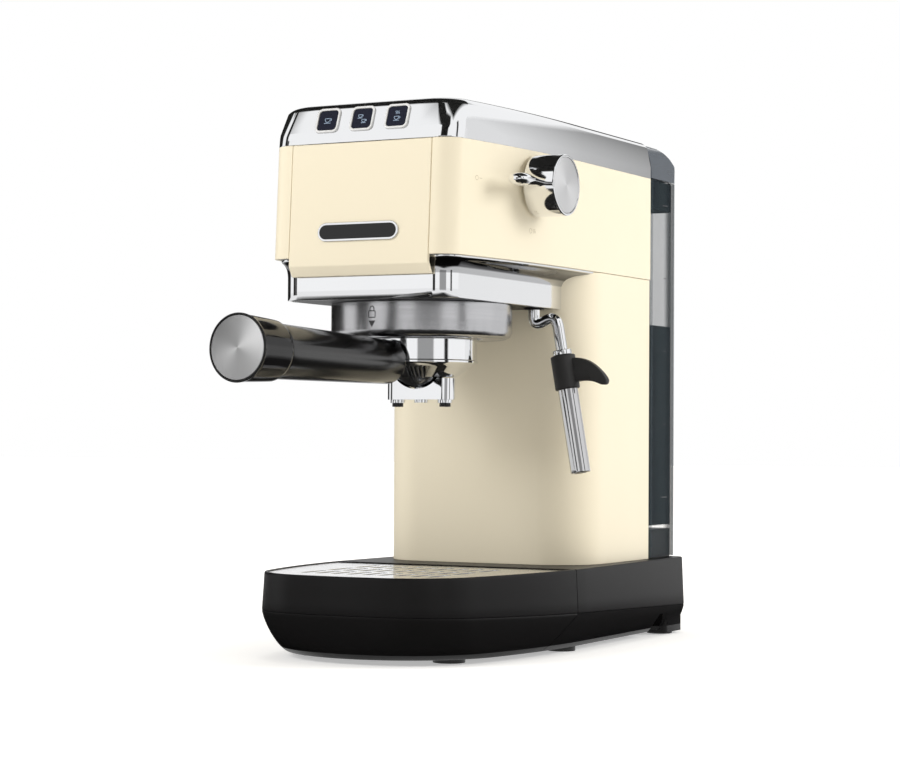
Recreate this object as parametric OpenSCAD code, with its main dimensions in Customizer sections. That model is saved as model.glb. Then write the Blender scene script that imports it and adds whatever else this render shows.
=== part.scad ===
// Slim espresso machine: a rounded base with a pull-out drip tray, a column that carries a brewing head,
// a lift-out water tank at the back, a bayonet portafilter, a swinging steam wand and a lever steam knob.
// Origin: on the counter, in the plane of symmetry, midway along the base. +Z is up, -Y is the user's side,
// +X is the steam wand's side. Lengths in millimetres, angles in degrees.

/* [Base] */
// Length of the base from front to back
base_len = 310; // [304:1:324]
// Greatest width of the base
base_w = 160; // [156:1:176]
// Width of the base at its rear corners
base_rear_w = 150; // [146:1:158]
// Height of the base's top edge above the counter
base_h = 48; // [46:1:54]
// Height of the parting line at the front of the base
split_front = 27; // [24:1:32]
// Height of the parting line at the rear of the base
split_rear = 17.5; // [16:0.5:22]
// Radius of the base's front corners in plan
base_corner_r = 45; // [38:1:52]
// Radius of the base's bowed sides in plan
base_side_r = 418; // [390:2:600]
// Radius of the base's bowed front in plan
base_front_r = 180; // [160:5:260]
// How far the base's lower edge stands outside its top edge
base_draft = 1.2; // [0.6:0.1:2]
// How far the front of the skirt tucks under
tuck_front = 12; // [8:1:16]
// How far the sides of the skirt tuck under
tuck_side = 8; // [5:1:10]
// Wall of the black plastic base parts
base_wall = 2.5; // [2:0.1:3]
// Height of the rubber feet
foot_h = 3; // [2:0.5:4]
// Radius of the rubber feet
foot_r = 8; // [6:0.5:9]

/* [Drip tray] */
// Distance of the tray's rear seam in front of the base's middle
seam_back = 20; // [16:1:24]
// Width of the seam between tray and base
seam_gap = 0.6; // [0.4:0.1:1]
// How far the seam runs forward on its way down the skirt
seam_slant = 28; // [20:1:34]
// Width of the ledge that carries the cup grid
ledge_w = 4; // [3:0.5:6]
// Width of the rim round the cup grid
rim_w = 2.2; // [1.8:0.1:3]
// Thickness of the cup grid
grid_t = 2; // [1.6:0.1:2.5]
// Depth of the cup grid's face below the rim
grid_drop = 0.6; // [0.3:0.1:1.5]
// Width of a drain slot in the cup grid
slot_w = 4.4; // [3:0.2:5]
// Length of a drain slot in the cup grid
slot_len = 24; // [18:1:27]
// Distance between drain slots
slot_pitch = 10; // [8:0.5:11]

/* [Body] */
// Width of the column and of the head at the rear
body_w = 138; // [134:1:142]
// Distance of the body's rear face before the base's rear end
rear_shelf = 45; // [44:1:49]
// Distance of the column's front face behind the base's middle
column_front = 8.5; // [6:0.5:11]
// Radius of the column's front corners
column_corner_r = 30; // [26:1:34]
// Wall of the painted shells
shell_wall = 2.5; // [2:0.1:3]
// Distance of the head's front face before the base's middle
head_front = 130; // [126:1:134]
// Height of the head shell's lower edge above the counter
head_z0 = 221.8; // [218:0.2:228]
// Height of the head shell's upper edge above the counter
head_z1 = 285; // [280:1:292]
// Radius of the head's front corners
head_corner_r = 12; // [10:0.5:15]
// Radius of the head's bowed sides
head_side_r = 800; // [700:20:1200]
// How far the head's front leans out at its foot
head_lean = 4; // [2:0.5:6]
// Width of the front panel
panel_w = 88; // [82:1:92]
// Gap round the front panel
panel_gap = 0.3; // [0.2:0.05:0.3]
// Height of the front panel's lower face below the head shell's edge
panel_drop = 4.8; // [3.5:0.1:6]
// Height of the bevel under the front panel
panel_bevel = 5.6; // [4:0.2:5.8]

/* [Cap] */
// Height of the chrome cap
cap_h = 23; // [21:0.5:25]
// Slope of the button face from upright
cap_tilt = 20; // [16:1:24]
// Height on the cap where the button face starts
cap_foot = 5; // [4:0.5:6]
// Wall of the chrome cap
cap_wall = 2; // [1.6:0.1:2.4]
// Inset of the cap's flat top from its sides
cap_side_inset = 8; // [7:0.5:10]
// Thickness of the cup warming plate
plate_t = 1.8; // [1.4:0.1:2.2]

/* [Buttons] */
// Distance between the buttons
button_pitch = 22; // [20:0.5:24]
// Width of a button
button_w = 11.6; // [10:0.2:12]
// Length of a button up the slope
button_len = 11.6; // [10:0.2:12]
// Distance of the middle button to the left of the plane of symmetry
button_shift = 1.5; // [0:0.5:2]
// Width of the bright frame round a button
frame_w = 1.3; // [1:0.1:1.6]
// Gap between a button and its frame
button_gap = 0.3; // [0.2:0.05:0.4]
// How far a button moves when pressed
button_travel = 1.2; // [0.8:0.1:1.5]

/* [Group] */
// Distance of the group's axis before the base's middle
group_front = 60; // [57:0.5:63]
// Outer radius of the group ring
group_r = 51.9; // [50:0.1:52]
// Height of the group ring's lower face above the counter
ring_z0 = 179; // [177:0.5:181]
// Height of the chrome collar's lower edge above the counter
collar_z0 = 198.7; // [198:0.1:200]
// Distance of the chrome collar's side outside the group ring
collar_margin = 2.6; // [2.4:0.1:4]
// Wall of the chrome collar
collar_wall = 2; // [1.6:0.1:2.2]
// Radius of the mouth that takes the portafilter
mouth_r = 36.5; // [36:0.1:38]
// Reach of a bayonet lug beyond the mouth
lug_reach = 4; // [3:0.2:5]
// Angle that a bayonet lug covers
lug_angle = 46; // [36:2:50]
// Angle from unlocked to locked
lock_turn = 50; // [50:1:56]

/* [Portafilter] */
// Angle of the handle to the left of straight ahead when locked
rest_turn = 3.5; // [0:0.5:6]
// Rise of the handle towards its end
handle_rise = 1.35; // [0:0.05:2.5]
// Outer radius of the portafilter's bowl
bowl_r = 32; // [31:0.1:33]
// Inner radius of the coffee basket
basket_r = 25.5; // [24.5:0.1:26]
// Depth of the coffee basket
basket_depth = 22; // [18:0.5:23]
// Distance from the group's axis to the handle's end face
handle_reach = 176; // [160:1:190]
// Length of the glossy end cap
handle_cap_len = 28.3; // [22:0.1:40]
// Radius of the handle's end
handle_end_r = 18; // [16:0.5:20]
// Radius of the grip where it meets the bowl
grip_r0 = 12.4; // [11.5:0.1:13]
// Radius of the grip at the end cap
grip_r1 = 14.8; // [14:0.1:15.6]
// Distance between the two coffee outlets
spout_pitch = 32; // [28:0.5:34]

/* [Steam] */
// Height of the steam knob's axis above the counter
knob_z = 264.8; // [258:0.2:268]
// Distance of the steam knob's axis before the base's middle
knob_front = 50.7; // [46:0.1:56]
// Radius of the steam knob
knob_r = 17.4; // [15:0.1:18.5]
// Distance of the knob's face from the plane of symmetry
knob_face = 87.3; // [85:0.1:92]
// Length of the knob's lever from its axis
lever_len = 45; // [40:1:48]
// Thickness of the lever
lever_tip = 5.4; // [4:0.2:8]
// Radius of the valve spindle
spindle_r = 3; // [2.5:0.1:3.5]
// Gap between the wand's socket and the collar's wall
wand_gap = 0.6; // [0.3:0.1:1.2]
// Distance of the wand's swivel before the base's middle
wand_front = 7.5; // [6:0.5:12]
// Radius of the steam wand's tube
wand_r = 3.5; // [3:0.1:3.6]
// Sideways run of the wand before it turns down
wand_out = 15; // [13:0.5:18]
// Angle of the wand from upright
wand_tilt = 10; // [6:0.5:14]
// Outer radius of the steel frother sleeve
sleeve_r = 5.8; // [5.4:0.1:6.4]
// Length of the steel frother sleeve
sleeve_len = 55; // [45:1:60]
// Radius of the wand's rubber grip
wand_grip_r = 7.2; // [6.9:0.1:8]
// Running clearance of pins, spindles and swivels
running = 0.07; // [0.05:0.01:0.1]

/* [Water tank] */
// Length of the tank from front to back
tank_len = 44; // [40:0.5:45]
// Wall of the water tank
tank_wall = 2.2; // [1.8:0.1:2.6]
// Radius of the tank's rear corners
tank_corner_r = 8; // [6:0.5:12]
// Height of the pedestal that the tank sits on
seat_h = 17.8; // [14:0.2:20]
// Thickness of the tank lid
lid_wall = 2.4; // [2:0.1:3]
// Radius of the lid's hinge pins
pin_r = 1.5; // [1.3:0.1:1.8]

/* [Hidden] */
$fn = 96;

eps = 0.01;
tall = 400;
base_top_clear = 0.3;
flat_r = 4000;

cream = [0.98, 0.93, 0.80];
black = [0.10, 0.10, 0.11];
chrome = [0.80, 0.82, 0.85];
steel = [0.68, 0.69, 0.71];

group_y = -group_front;
collar_w = 2 * (group_r + collar_margin);
socket_r = 5.9;
wand_x = collar_w / 2 - collar_wall - socket_r - wand_gap;
seam_y = -seam_back;
front_y = -base_len / 2;
rear_y = base_len / 2;
body_rear = rear_y - rear_shelf;
column_top = head_z0 - 0.3;
cap_top = head_z1 + cap_h;

// ---------- outlines in plan ----------

// Where two circles cross; of the two points, the one nearer the front
function meet(c1, r1, c2, r2) =
    let (d = norm(c2 - c1), a = (d * d + r1 * r1 - r2 * r2) / (2 * d), h = sqrt(max(0, r1 * r1 - a * a)))
    let (u = (c2 - c1) / d, n = [u.y, -u.x], p = c1 + a * u + h * n, q = c1 + a * u - h * n)
    p.y < q.y ? p : q;

// Points on an arc from angle a0 to a1, without the first when skip is 1
function arc(c, r, a0, a1, n, skip = 0) =
    [for (i = [skip:n]) let (a = a0 + (a1 - a0) * i / n) c + r * [cos(a), sin(a)]];

// Half an outline from the front centre to the rear: a bowed front, a corner and a bowed side, all tangent,
// then a straight run to the rear corner. o = [front y, front radius, corner radius, half width, side radius,
// y of the widest point, half width at the rear, rear y, rear corner radius]
function half_outline(o, df, ds, dr, dc) =
    let (fc = [0, o[0] + o[1]], fr = o[1] - df, sc = [o[3] - o[4], o[5]], sr = o[4] - ds)
    let (cr = max(o[2] + dc, 0.6), cc = meet(fc, fr - cr, sc, sr - cr))
    let (a1 = atan2(cc.y - fc.y, cc.x - fc.x), a2 = atan2(cc.y - sc.y, cc.x - sc.x))
    let (rr = max(o[8] - dr, 0.4), rc = [o[6] - ds - rr, o[7] - dr - rr])
    concat(arc(fc, fr, -90, a1, 4), arc(cc, cr, a1, a2, 9, 1), arc(sc, sr, a2, 0, 8, 1), arc(rc, rr, 0, 90, 4));

// The whole outline, inset by df at the front, ds at the sides and dr at the rear
function outline(o, df = 0, ds = 0, dr = 0, dc = 0) =
    let (h = half_outline(o, df, ds, dr, dc))
    concat(h, [for (i = [len(h) - 1:-1:1]) [-h[i].x, h[i].y]]);

// The outline inset evenly by d
function inset(o, d) = outline(o, d, d, d, -d);

function blend(a, b, t) = [for (i = [0:len(a) - 1]) a[i] * (1 - t) + b[i] * t];

// An outline at one height, or on a plane that falls evenly from front to rear
function level(pts, z) = [for (p = pts) [p.x, p.y, z]];
function fall(pts, zf, zr) = [for (p = pts) [p.x, p.y, zf + (zr - zf) * (p.y - front_y) / base_len]];

// A solid through rings of points; with loop, the last ring joins the first and there are no ends
module loft(rings, loop = false) {
    n = len(rings[0]);
    m = len(rings);
    steps = loop ? m - 1 : m - 2;
    sides = [for (i = [0:steps]) for (j = [0:n - 1])
        let (k = (j + 1) % n, lo = i * n, hi = ((i + 1) % m) * n)
        each [[lo + j, hi + j, hi + k], [lo + j, hi + k, lo + k]]];
    ends = loop ? [] : [[for (j = [0:n - 1]) j], [for (j = [n - 1:-1:0]) (m - 1) * n + j]];
    polyhedron(points = [for (r = rings) each r], faces = concat(sides, ends), convexity = 8);
}

module prism(pts, z0, z1) {
    translate([0, 0, z0]) linear_extrude(z1 - z0) polygon(pts);
}

// A profile drawn in Y and Z, extruded evenly to both sides of the plane of symmetry
module across(width, pts) {
    rotate([90, 0, 90]) translate([0, 0, -width / 2]) linear_extrude(width) polygon(pts);
}

module tube_z(r_out, r_in, z0, z1) {
    translate([0, 0, z0]) difference() {
        cylinder(r = r_out, h = z1 - z0);
        translate([0, 0, -1]) cylinder(r = r_in, h = z1 - z0 + 2);
    }
}

module rod_z(r, z0, z1) {
    translate([0, 0, z0]) cylinder(r = r, h = z1 - z0);
}

function rounded_rect(w, h, r) = concat(
    arc([w / 2 - r, -h / 2 + r], r, -90, 0, 5), arc([w / 2 - r, h / 2 - r], r, 0, 90, 5),
    arc([-w / 2 + r, h / 2 - r], r, 90, 180, 5), arc([-w / 2 + r, -h / 2 + r], r, 180, 270, 5));

// A route with each corner rounded by a curve that starts r before it
function unit(v) = v / norm(v);
function rounded_route(p, r, n = 6) = concat([p[0]],
    [for (i = [1:len(p) - 2]) let (a = p[i] + r * unit(p[i - 1] - p[i]), b = p[i] + r * unit(p[i + 1] - p[i]))
        for (k = [0:n]) let (s = k / n) (1 - s) * (1 - s) * a + 2 * s * (1 - s) * p[i] + s * s * b],
    [p[len(p) - 1]]);

// A round hose or pipe along a route; up is any direction that the route never follows
module hose(route, r, up, sides = 10) {
    last = len(route) - 1;
    loft([for (i = [0:last])
        let (t = unit(route[min(i + 1, last)] - route[max(i - 1, 0)]), u = unit(up - (up * t) * t), v = cross(t, u))
        [for (k = [0:sides - 1]) route[i] + r * (cos(360 * k / sides) * u + sin(360 * k / sides) * v)]]);
}

// ---------- base and drip tray ----------

base_outline = [front_y, base_front_r, base_corner_r, base_w / 2, base_side_r, -8,
    base_rear_w / 2, rear_y, 8];
seam_z = split_front + (split_rear - split_front) * (seam_y - front_y) / base_len;
rear_tuck = 6;
tuck_corner = 18;
grid_z = base_h - grid_drop - grid_t;
arch_y = 113;
arch_h = 14;

function seam_line(off) =
    let (run = seam_slant / (seam_z - foot_h))
    [[seam_y + off, tall], [seam_y + off, seam_z], [seam_y + off - run * (seam_z + 20), -20]];

module front_part(off) {
    across(tall, concat(seam_line(-off), [[-tall, -20], [-tall, tall]]));
}

module rear_part(off) {
    across(tall, concat(seam_line(off), [[tall, -20], [tall, tall]]));
}

module band() {
    low = outline(base_outline, -base_draft, -base_draft, -base_draft, base_draft);
    loft([fall(low, split_front, split_rear), level(outline(base_outline), base_h)]);
}

// The tucked skirt below the parting line, inset by d; lid is how far it reaches above that line
module skirt(d, lid) {
    e = d - base_draft;
    top = outline(base_outline, e, e, e, -e);
    low = outline(base_outline, e + tuck_front, e + tuck_side, e + rear_tuck, tuck_corner - e);
    floor_z = foot_h + d;
    rings = [for (a = [90:-15:lid > 0 ? 15 : 0]) let (h = pow(sin(a), 1.5), t = 1 - pow(cos(a), 1.5))
        fall(blend(top, low, t), split_front - (split_front - floor_z) * h, split_rear - (split_rear - floor_z) * h)];
    loft(lid > 0 ? concat(rings, [fall(top, split_front + lid, split_rear + lid)]) : rings);
}

function arch(d) = [[arch_y - 9 - d, -5], [arch_y - 7 - d, 8 + d], [arch_y - 3 - d / 2, arch_h + d],
    [arch_y + 3 + d / 2, arch_h + d], [arch_y + 7 + d, 8 + d], [arch_y + 9 + d, -5]];

tank_front = body_rear + 0.6;
tank_rear = tank_front + tank_len;
tank_outline = [tank_front, flat_r, 1, body_w / 2, flat_r, tank_rear - tank_corner_r - 10, body_w / 2,
    tank_rear, tank_corner_r];
tank_z0 = base_h + 0.8;
seat_z = base_h + seat_h;
tank_floor = seat_z + 0.2;
tank_top = head_z1 + 0.2;
valve_x = 30;
valve_y = (tank_front + tank_rear) / 2;
gland_x = -45;
gland_z = 34;
gland_r = 6;
gland_bore_r = 3.6;

module base_housing() color(black) difference() {
    union() {
        intersection() {
            band();
            rear_part(seam_gap / 2);
        }
        prism(inset(tank_outline, tank_wall + 0.3), base_h - 1, seat_z);
    }
    intersection() {
        prism(inset(base_outline, base_wall), -1, base_h - base_wall);
        rear_part(seam_gap / 2 + base_wall);
    }
    translate([gland_x, rear_y - 12, gland_z]) rotate([-90, 0, 0]) cylinder(r = gland_r, h = 30);
    translate([gland_x, rear_y - 1, gland_z]) rotate([-90, 0, 0]) cylinder(r = gland_r + 3, h = 10);
    translate([valve_x, valve_y, 0]) rod_z(9, base_h - 10, seat_z + 1);
    translate([riser_x, pump_y, base_h - 10]) cylinder(r = 8, h = 20);
}

module base_pan() color(black) difference() {
    union() {
        difference() {
            intersection() {
                skirt(0, 0);
                rear_part(seam_gap / 2);
            }
            across(tall, arch(0));
        }
        rear_legs();
    }
    difference() {
        intersection() {
            skirt(base_wall, 6);
            rear_part(seam_gap / 2 + base_wall);
        }
        across(tall, arch(base_wall));
    }
}

leg_x = base_rear_w / 2 - 11;
leg_y = rear_y - 17;
pad_h = 1.5;

module rear_legs()
    for (s = [-1, 1]) translate([s * leg_x, leg_y, pad_h]) linear_extrude(split_rear - pad_h - 3)
        polygon(rounded_rect(20, 28, 4));

rear_foot_x = base_w / 2 - 16;

module rear_feet() color(black) for (s = [-1, 1]) {
    translate([s * rear_foot_x, seam_y + 14, 0]) cylinder(r = foot_r, h = foot_h);
    translate([s * leg_x, leg_y, 0]) cylinder(r = foot_r, h = pad_h);
}

module cord_gland() color(black)
    translate([gland_x, 0, gland_z]) rotate([-90, 0, 0]) difference() {
        union() {
            rod_z(gland_r - 0.05, rear_y - 8, rear_y);
            rod_z(gland_r + 2.6, rear_y - 1, rear_y + 0.2);
        }
        rod_z(gland_bore_r, rear_y - 20, rear_y + 20);
    }

module tray_bowl() color(black) difference() {
    intersection() {
        skirt(0, 0);
        front_part(seam_gap / 2);
    }
    intersection() {
        skirt(base_wall, 6);
        front_part(seam_gap / 2 + base_wall);
    }
}

module tray_frame() color(black) difference() {
    intersection() {
        band();
        front_part(seam_gap / 2);
    }
    intersection() {
        prism(inset(base_outline, base_wall), -1, grid_z - base_wall);
        front_part(seam_gap / 2 + base_wall);
    }
    intersection() {
        prism(inset(base_outline, rim_w + ledge_w), -1, tall);
        front_part(seam_gap / 2 + rim_w + ledge_w);
    }
    intersection() {
        prism(inset(base_outline, rim_w), grid_z, tall);
        front_part(seam_gap / 2 + rim_w);
    }
}

tray_foot_in = 38;
tray_foot_back = 52;

module tray_feet() color(black)
    for (x = [-1, 1]) translate([x * (base_w / 2 - tray_foot_in), front_y + tray_foot_back, 0])
        cylinder(r = foot_r + 1, h = foot_h);

module slot(w, l) {
    square([w, l - w], center = true);
    for (s = [-1, 1]) translate([0, s * (l - w) / 2]) circle(d = w, $fn = 32);
}

module cup_grid() color(chrome) difference() {
    intersection() {
        prism(inset(base_outline, rim_w + base_top_clear), grid_z, grid_z + grid_t);
        front_part(seam_gap / 2 + rim_w + base_top_clear);
    }
    for (row = [-1, 0, 1]) for (i = [-4:4])
        translate([i * slot_pitch, group_y - 22 + row * (slot_len + 6), grid_z - 1])
            linear_extrude(grid_t + 2) slot(slot_w, slot_len);
}

// ---------- column and head ----------

column_outline = [column_front, flat_r, column_corner_r, body_w / 2, flat_r, column_front + column_corner_r + 4,
    body_w / 2, body_rear, 0.4];
head_outline = [-head_front, flat_r, head_corner_r, body_w / 2, head_side_r, 10, body_w / 2, body_rear, 0.4];
lean_z0 = head_z0 - panel_drop;

// The head's outline at height z, inset by d, its front moved out by the lean
function head_ring(z, d) =
    let (k = head_lean * (head_z1 - z) / (head_z1 - lean_z0) / (head_front + body_rear))
    [for (p = inset(head_outline, d)) [p.x, p.y - k * (body_rear - p.y), z]];
function flat_ring(ring) = [for (p = ring) [p.x, p.y]];

spindle_hole_r = spindle_r + 1.2;

screw_in = 30;
screw_x = body_w / 2 - shell_wall - 6;
screw_r = 1.5;
screw_head_r = 3;
screw_head_t = 1.5;
head_sink = 1.6;
boss_len = 9;

module at_screws() {
    for (x = [-1, 1]) for (z = [base_h + screw_in, head_z0 - screw_in])
        translate([x * screw_x, body_rear, z]) rotate([90, 0, 0]) children();
}

module column_shell() color(cream) {
    difference() {
        prism(outline(column_outline), base_h, column_top);
        prism([for (p = inset(column_outline, shell_wall)) [p.x, p.y > 60 ? p.y + 20 : p.y]], base_h - 1, tall);
    }
    difference() {
        at_screws() translate([-6.6, -5, shell_wall]) cube([13.2, 10, boss_len]);
        at_screws() rod_z(screw_r + 0.05, 0, tall);
    }
}

module back_plate() color(black) {
    difference() {
        translate([-body_w / 2 + shell_wall, body_rear - shell_wall, base_h])
            cube([body_w - 2 * shell_wall, shell_wall, head_z0 - base_h]);
        at_screws() {
            rod_z(screw_head_r + 0.05, -1, head_sink);
            rod_z(screw_r + 0.05, -1, tall);
        }
    }
    for (x = [-board_w / 2 + 5, board_w / 2 - 5]) for (z = [board_z0 + 5, board_z0 + board_h - 5])
        translate([board_x + x, board_y + board_t, z]) rotate([-90, 0, 0])
            cylinder(r = 2.5, h = body_rear - shell_wall - board_y - board_t + 0.5);
}

module head_shell() color(cream) difference() {
    loft([head_ring(head_z0, 0), head_ring(head_z1, 0), head_ring(head_z1, shell_wall),
        head_ring(head_z0, shell_wall)], loop = true);
    translate([-panel_w / 2 - panel_gap, -head_front - 20, head_z0 - 1])
        cube([panel_w + 2 * panel_gap, 40, head_z1 - head_z0 + 2]);
    translate([40, -knob_front, knob_z]) rotate([0, 90, 0]) cylinder(r = spindle_hole_r, h = 60);
}

floor_t = 2.5;
boiler_r = 34;
boiler_flange_r = 46;
flange_z0 = ring_z0 + 28;
flange_z1 = flange_z0 + 4;
valve_post_x = 44;
bolt_circle = 41;

module head_floor() color(black) difference() {
    union() {
        prism(flat_ring(head_ring(head_z0 + floor_t, shell_wall + 0.1)), head_z0, head_z0 + floor_t);
        for (a = [45:90:315]) translate([0, group_y, 0]) rotate(a) translate([bolt_circle, 0, flange_z1])
            cylinder(r = 3.5, h = head_z0 - flange_z1 + 0.5);
    }
    translate([0, group_y, head_z0 - 1]) cylinder(r = boiler_r + 2, h = floor_t + 2);
    translate([-25, 25, head_z0 - 1]) cube([50, 60, floor_t + 2]);
    translate([wand_x, -wand_front, head_z0 - 1]) cylinder(r = 6, h = floor_t + 2);
}

panel_t = 2.5;
panel_back = 3.5;

module front_panel() color(cream) {
    y1 = -head_front;
    y0 = -head_front - head_lean;
    across(panel_w, [[y1, head_z1 - 0.1], [y0, lean_z0], [y0 + panel_back, lean_z0 - panel_bevel],
        [y0 + panel_back + panel_t, lean_z0 - panel_bevel], [y0 + panel_t, lean_z0 + 0.8],
        [y1 + panel_t, head_z1 - 0.1]]);
}

// ---------- chrome cap, warming plate and buttons ----------

slope_rise = cap_h - cap_foot - 1.8;
slope_run = slope_rise * tan(cap_tilt);
cap_front_inset = slope_run + 5.2;
foot_inset = 0.8;
top_outline = outline(head_outline, cap_front_inset, cap_side_inset, 0, 2);

function cap_ring(h, run, d) =
    let (t = run / cap_front_inset, o = blend(outline(head_outline, d, d, d, -d),
        outline(head_outline, cap_front_inset + d, cap_side_inset + d, d, 2 - d), t))
    level(o, head_z1 + h);

cap_profile = [[0, 0], [cap_foot, foot_inset], [cap_h - 1.8, foot_inset + slope_run],
    [cap_h - 0.6, foot_inset + slope_run + 1.4], [cap_h, cap_front_inset]];
recess_d = 3;
plate_z0 = cap_top - 1.5;

button_y = -head_front + foot_inset + slope_run / 2;
button_z = head_z1 + cap_foot + slope_rise / 2;

module on_slope(x = 0) {
    translate([x - button_shift, button_y, button_z]) rotate([90 - cap_tilt, 0, 0]) children();
}

hole_w = button_w + 2 * button_gap + 2 * frame_w;
hole_len = button_len + 2 * button_gap + 2 * frame_w;
frame_r = 3;
frame_proud = 0.9;
frame_depth = 3;
board_depth = 8.4;
post_gap = 0.6;
post_r = 2;
post_x = button_pitch + hole_w / 2 + post_r + post_gap;

module chrome_cap() color(chrome) {
    difference() {
        loft(concat(
            [for (i = [4:-1:0]) let (p = cap_profile[i])
                cap_ring(i == 0 ? 0 : max(0, p[0] - cap_wall), p[1], cap_wall)],
            [for (p = cap_profile) cap_ring(p[0], p[1], 0)]));
        prism([for (p = outline(head_outline, cap_front_inset + recess_d, cap_side_inset + recess_d, recess_d + 4, 0))
            p], plate_z0, tall);
        for (i = [-1:1]) on_slope(i * button_pitch) translate([0, 0, -10])
            linear_extrude(20) polygon(rounded_rect(hole_w + 0.1, hole_len + 0.1, frame_r));
    }
    for (x = [-post_x, post_x]) on_slope(x) translate([0, 0, -board_depth])
        cylinder(r = post_r, h = board_depth - cap_wall + 0.6);
}

module top_plate() color(steel) difference() {
    prism(outline(head_outline, cap_front_inset + recess_d + 0.3, cap_side_inset + recess_d + 0.3, recess_d + 4.3, 0),
        plate_z0, plate_z0 + plate_t);
    for (x = [-40:10:40]) translate([x - 1.5, -96, plate_z0 + plate_t - 0.5]) cube([3, 180, 2]);
}

module button_frames() color([0.93, 0.94, 0.95])
    for (i = [-1:1]) on_slope(i * button_pitch) translate([0, 0, -frame_depth]) linear_extrude(frame_depth + frame_proud)
        difference() {
            polygon(rounded_rect(hole_w, hole_len, frame_r));
            polygon(rounded_rect(hole_w - 2 * frame_w, hole_len - 2 * frame_w, frame_r - frame_w + 0.4));
        }

module push_button(x) color([0.12, 0.12, 0.2]) on_slope(x) {
    translate([0, 0, -frame_depth - 0.5]) linear_extrude(frame_depth + 1) polygon(rounded_rect(button_w, button_len, 1.8));
    translate([0, 0, -frame_depth - 1.2]) linear_extrude(1)
        polygon(rounded_rect(button_w + 1.6, button_len + 1.6, 1.8));
    rod_z(2.4, -stem_depth, -frame_depth - 1);
}
stem_depth = 6;

module one_cup_button() push_button(-button_pitch);
module two_cup_button() push_button(0);
module steam_button() push_button(button_pitch);

module button_board() color([0.1, 0.4, 0.2]) on_slope() {
    translate([0, 0, -board_depth - 1.6]) linear_extrude(1.6) square([2 * post_x + 6, 12], center = true);
    for (i = [-1:1]) translate([i * button_pitch, 0, 0]) {
        translate([-3, -3, -board_depth - 0.1]) cube([6, 6, 0.5]);
        rod_z(1.5, -board_depth, -stem_depth - button_travel - 0.1);
    }
}

// ---------- collar and group ----------

collar_outline = [-head_front + 3, flat_r, 12, collar_w / 2, flat_r, -group_front, collar_w / 2, body_rear, 0.4];
collar_top_outline = [-head_front + 1, flat_r, head_corner_r, body_w / 2 - 1.6, head_side_r, 10, body_w / 2 - 1.6,
    body_rear, 0.4];
collar_band = 13.3;
collar_flare = head_z0 - collar_z0 - collar_band;
flare_profile = [[0, 0], [0.26, 0.06], [0.52, 0.2], [0.74, 0.48], [0.88, 0.82], [1, 1]];

function collar_ring(z, t, d) = level(blend(inset(collar_outline, d), inset(collar_top_outline, d), t), z);

collar_back = column_front + 22;

module chrome_collar() color(chrome) difference() {
    loft(concat([collar_ring(collar_z0, 0, 0)],
        [for (f = flare_profile) collar_ring(collar_z0 + collar_band + f[0] * collar_flare, f[1], 0)],
        [for (i = [5:-1:0]) let (f = flare_profile[i])
            collar_ring(collar_z0 + collar_band + f[0] * collar_flare, f[1], collar_wall)],
        [collar_ring(collar_z0, 0, collar_wall)]), loop = true);
    prism([for (p = outline(column_outline, -0.1, -0.1, 0, 0.1)) p], 0, tall);
    translate([-tall / 2, collar_back, 0]) cube([tall, tall, tall]);
    translate([-panel_w / 2 - 0.5, -head_front - 20, lean_z0 - panel_bevel - 0.2])
        cube([panel_w + 1, 22.8, 60]);
}

surround_z1 = collar_z0 + 2.6;
ring_step_r = group_r - 3.9;

module group_surround() color(black) difference() {
    prism(inset(collar_outline, collar_wall + 0.05), collar_z0 + 0.1, surround_z1);
    translate([-tall / 2, column_front - 0.2, 0]) cube([tall, tall, tall]);
    translate([0, group_y, 0]) rod_z(ring_step_r + 0.1, 0, tall);
    translate([wand_x, -wand_front, 0]) rod_z(socket_r + 0.05, 0, tall);
}

lip_z = ring_z0 + 8;
channel_z = lip_z + 7;
channel_r = mouth_r + lug_reach + 0.7;
gasket_r = 33;
gasket_z0 = channel_z + 2.4;
screen_r = basket_r - 1.1;

// A wedge of angle a centred on the direction of rotation 0
module wedge(a, r, z0, z1) {
    translate([0, 0, z0]) linear_extrude(z1 - z0)
        polygon(concat([[0, 0]], [for (i = [0:6]) r * [cos(-a / 2 + a * i / 6), sin(-a / 2 + a * i / 6)]]));
}

module group_ring() color(steel) translate([0, group_y, 0]) difference() {
    rotate_extrude() polygon([[mouth_r, ring_z0 + 1], [mouth_r + 1, ring_z0], [group_r - 4, ring_z0],
        [group_r - 1.2, ring_z0 + 1.2], [group_r, ring_z0 + 4], [group_r, collar_z0], [ring_step_r, collar_z0],
        [ring_step_r, flange_z0], [screen_r + 0.6, flange_z0], [screen_r + 0.6, flange_z0 - 3],
        [gasket_r, flange_z0 - 3], [gasket_r, channel_z + 0.6], [channel_r, channel_z + 0.6],
        [channel_r, lip_z - 0.2], [mouth_r, lip_z - 0.2]]);
    for (s = [0, 180]) rotate(s - lock_turn) intersection() {
        wedge(lug_angle + 3, 60, ring_z0 - 1, lip_z + 1);
        rod_z(channel_r - 0.3, ring_z0 - 1, lip_z + 1);
    }
}

module group_gasket() color([0.35, 0.12, 0.1]) translate([0, group_y, 0])
    tube_z(gasket_r - 0.1, screen_r + 1.2, gasket_z0, flange_z0 - 3);

rim_z = gasket_z0 - 1.1;
screen_z0 = rim_z - 1;

module shower_screen() color(steel) translate([0, group_y, 0]) difference() {
    union() {
        rod_z(screen_r, screen_z0, screen_z0 + 1.2);
        tube_z(screen_r, screen_r - 1, screen_z0 + 1, screen_z0 + 4);
    }
    rod_z(2.2, screen_z0 - 1, screen_z0 + 10);
    for (ring = [1:2]) for (i = [0:ring * 8 - 1]) rotate(i * 45 / ring) translate([ring * 8.5, 0, 0])
        rod_z(0.8, screen_z0 - 1, screen_z0 + 3);
}

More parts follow.
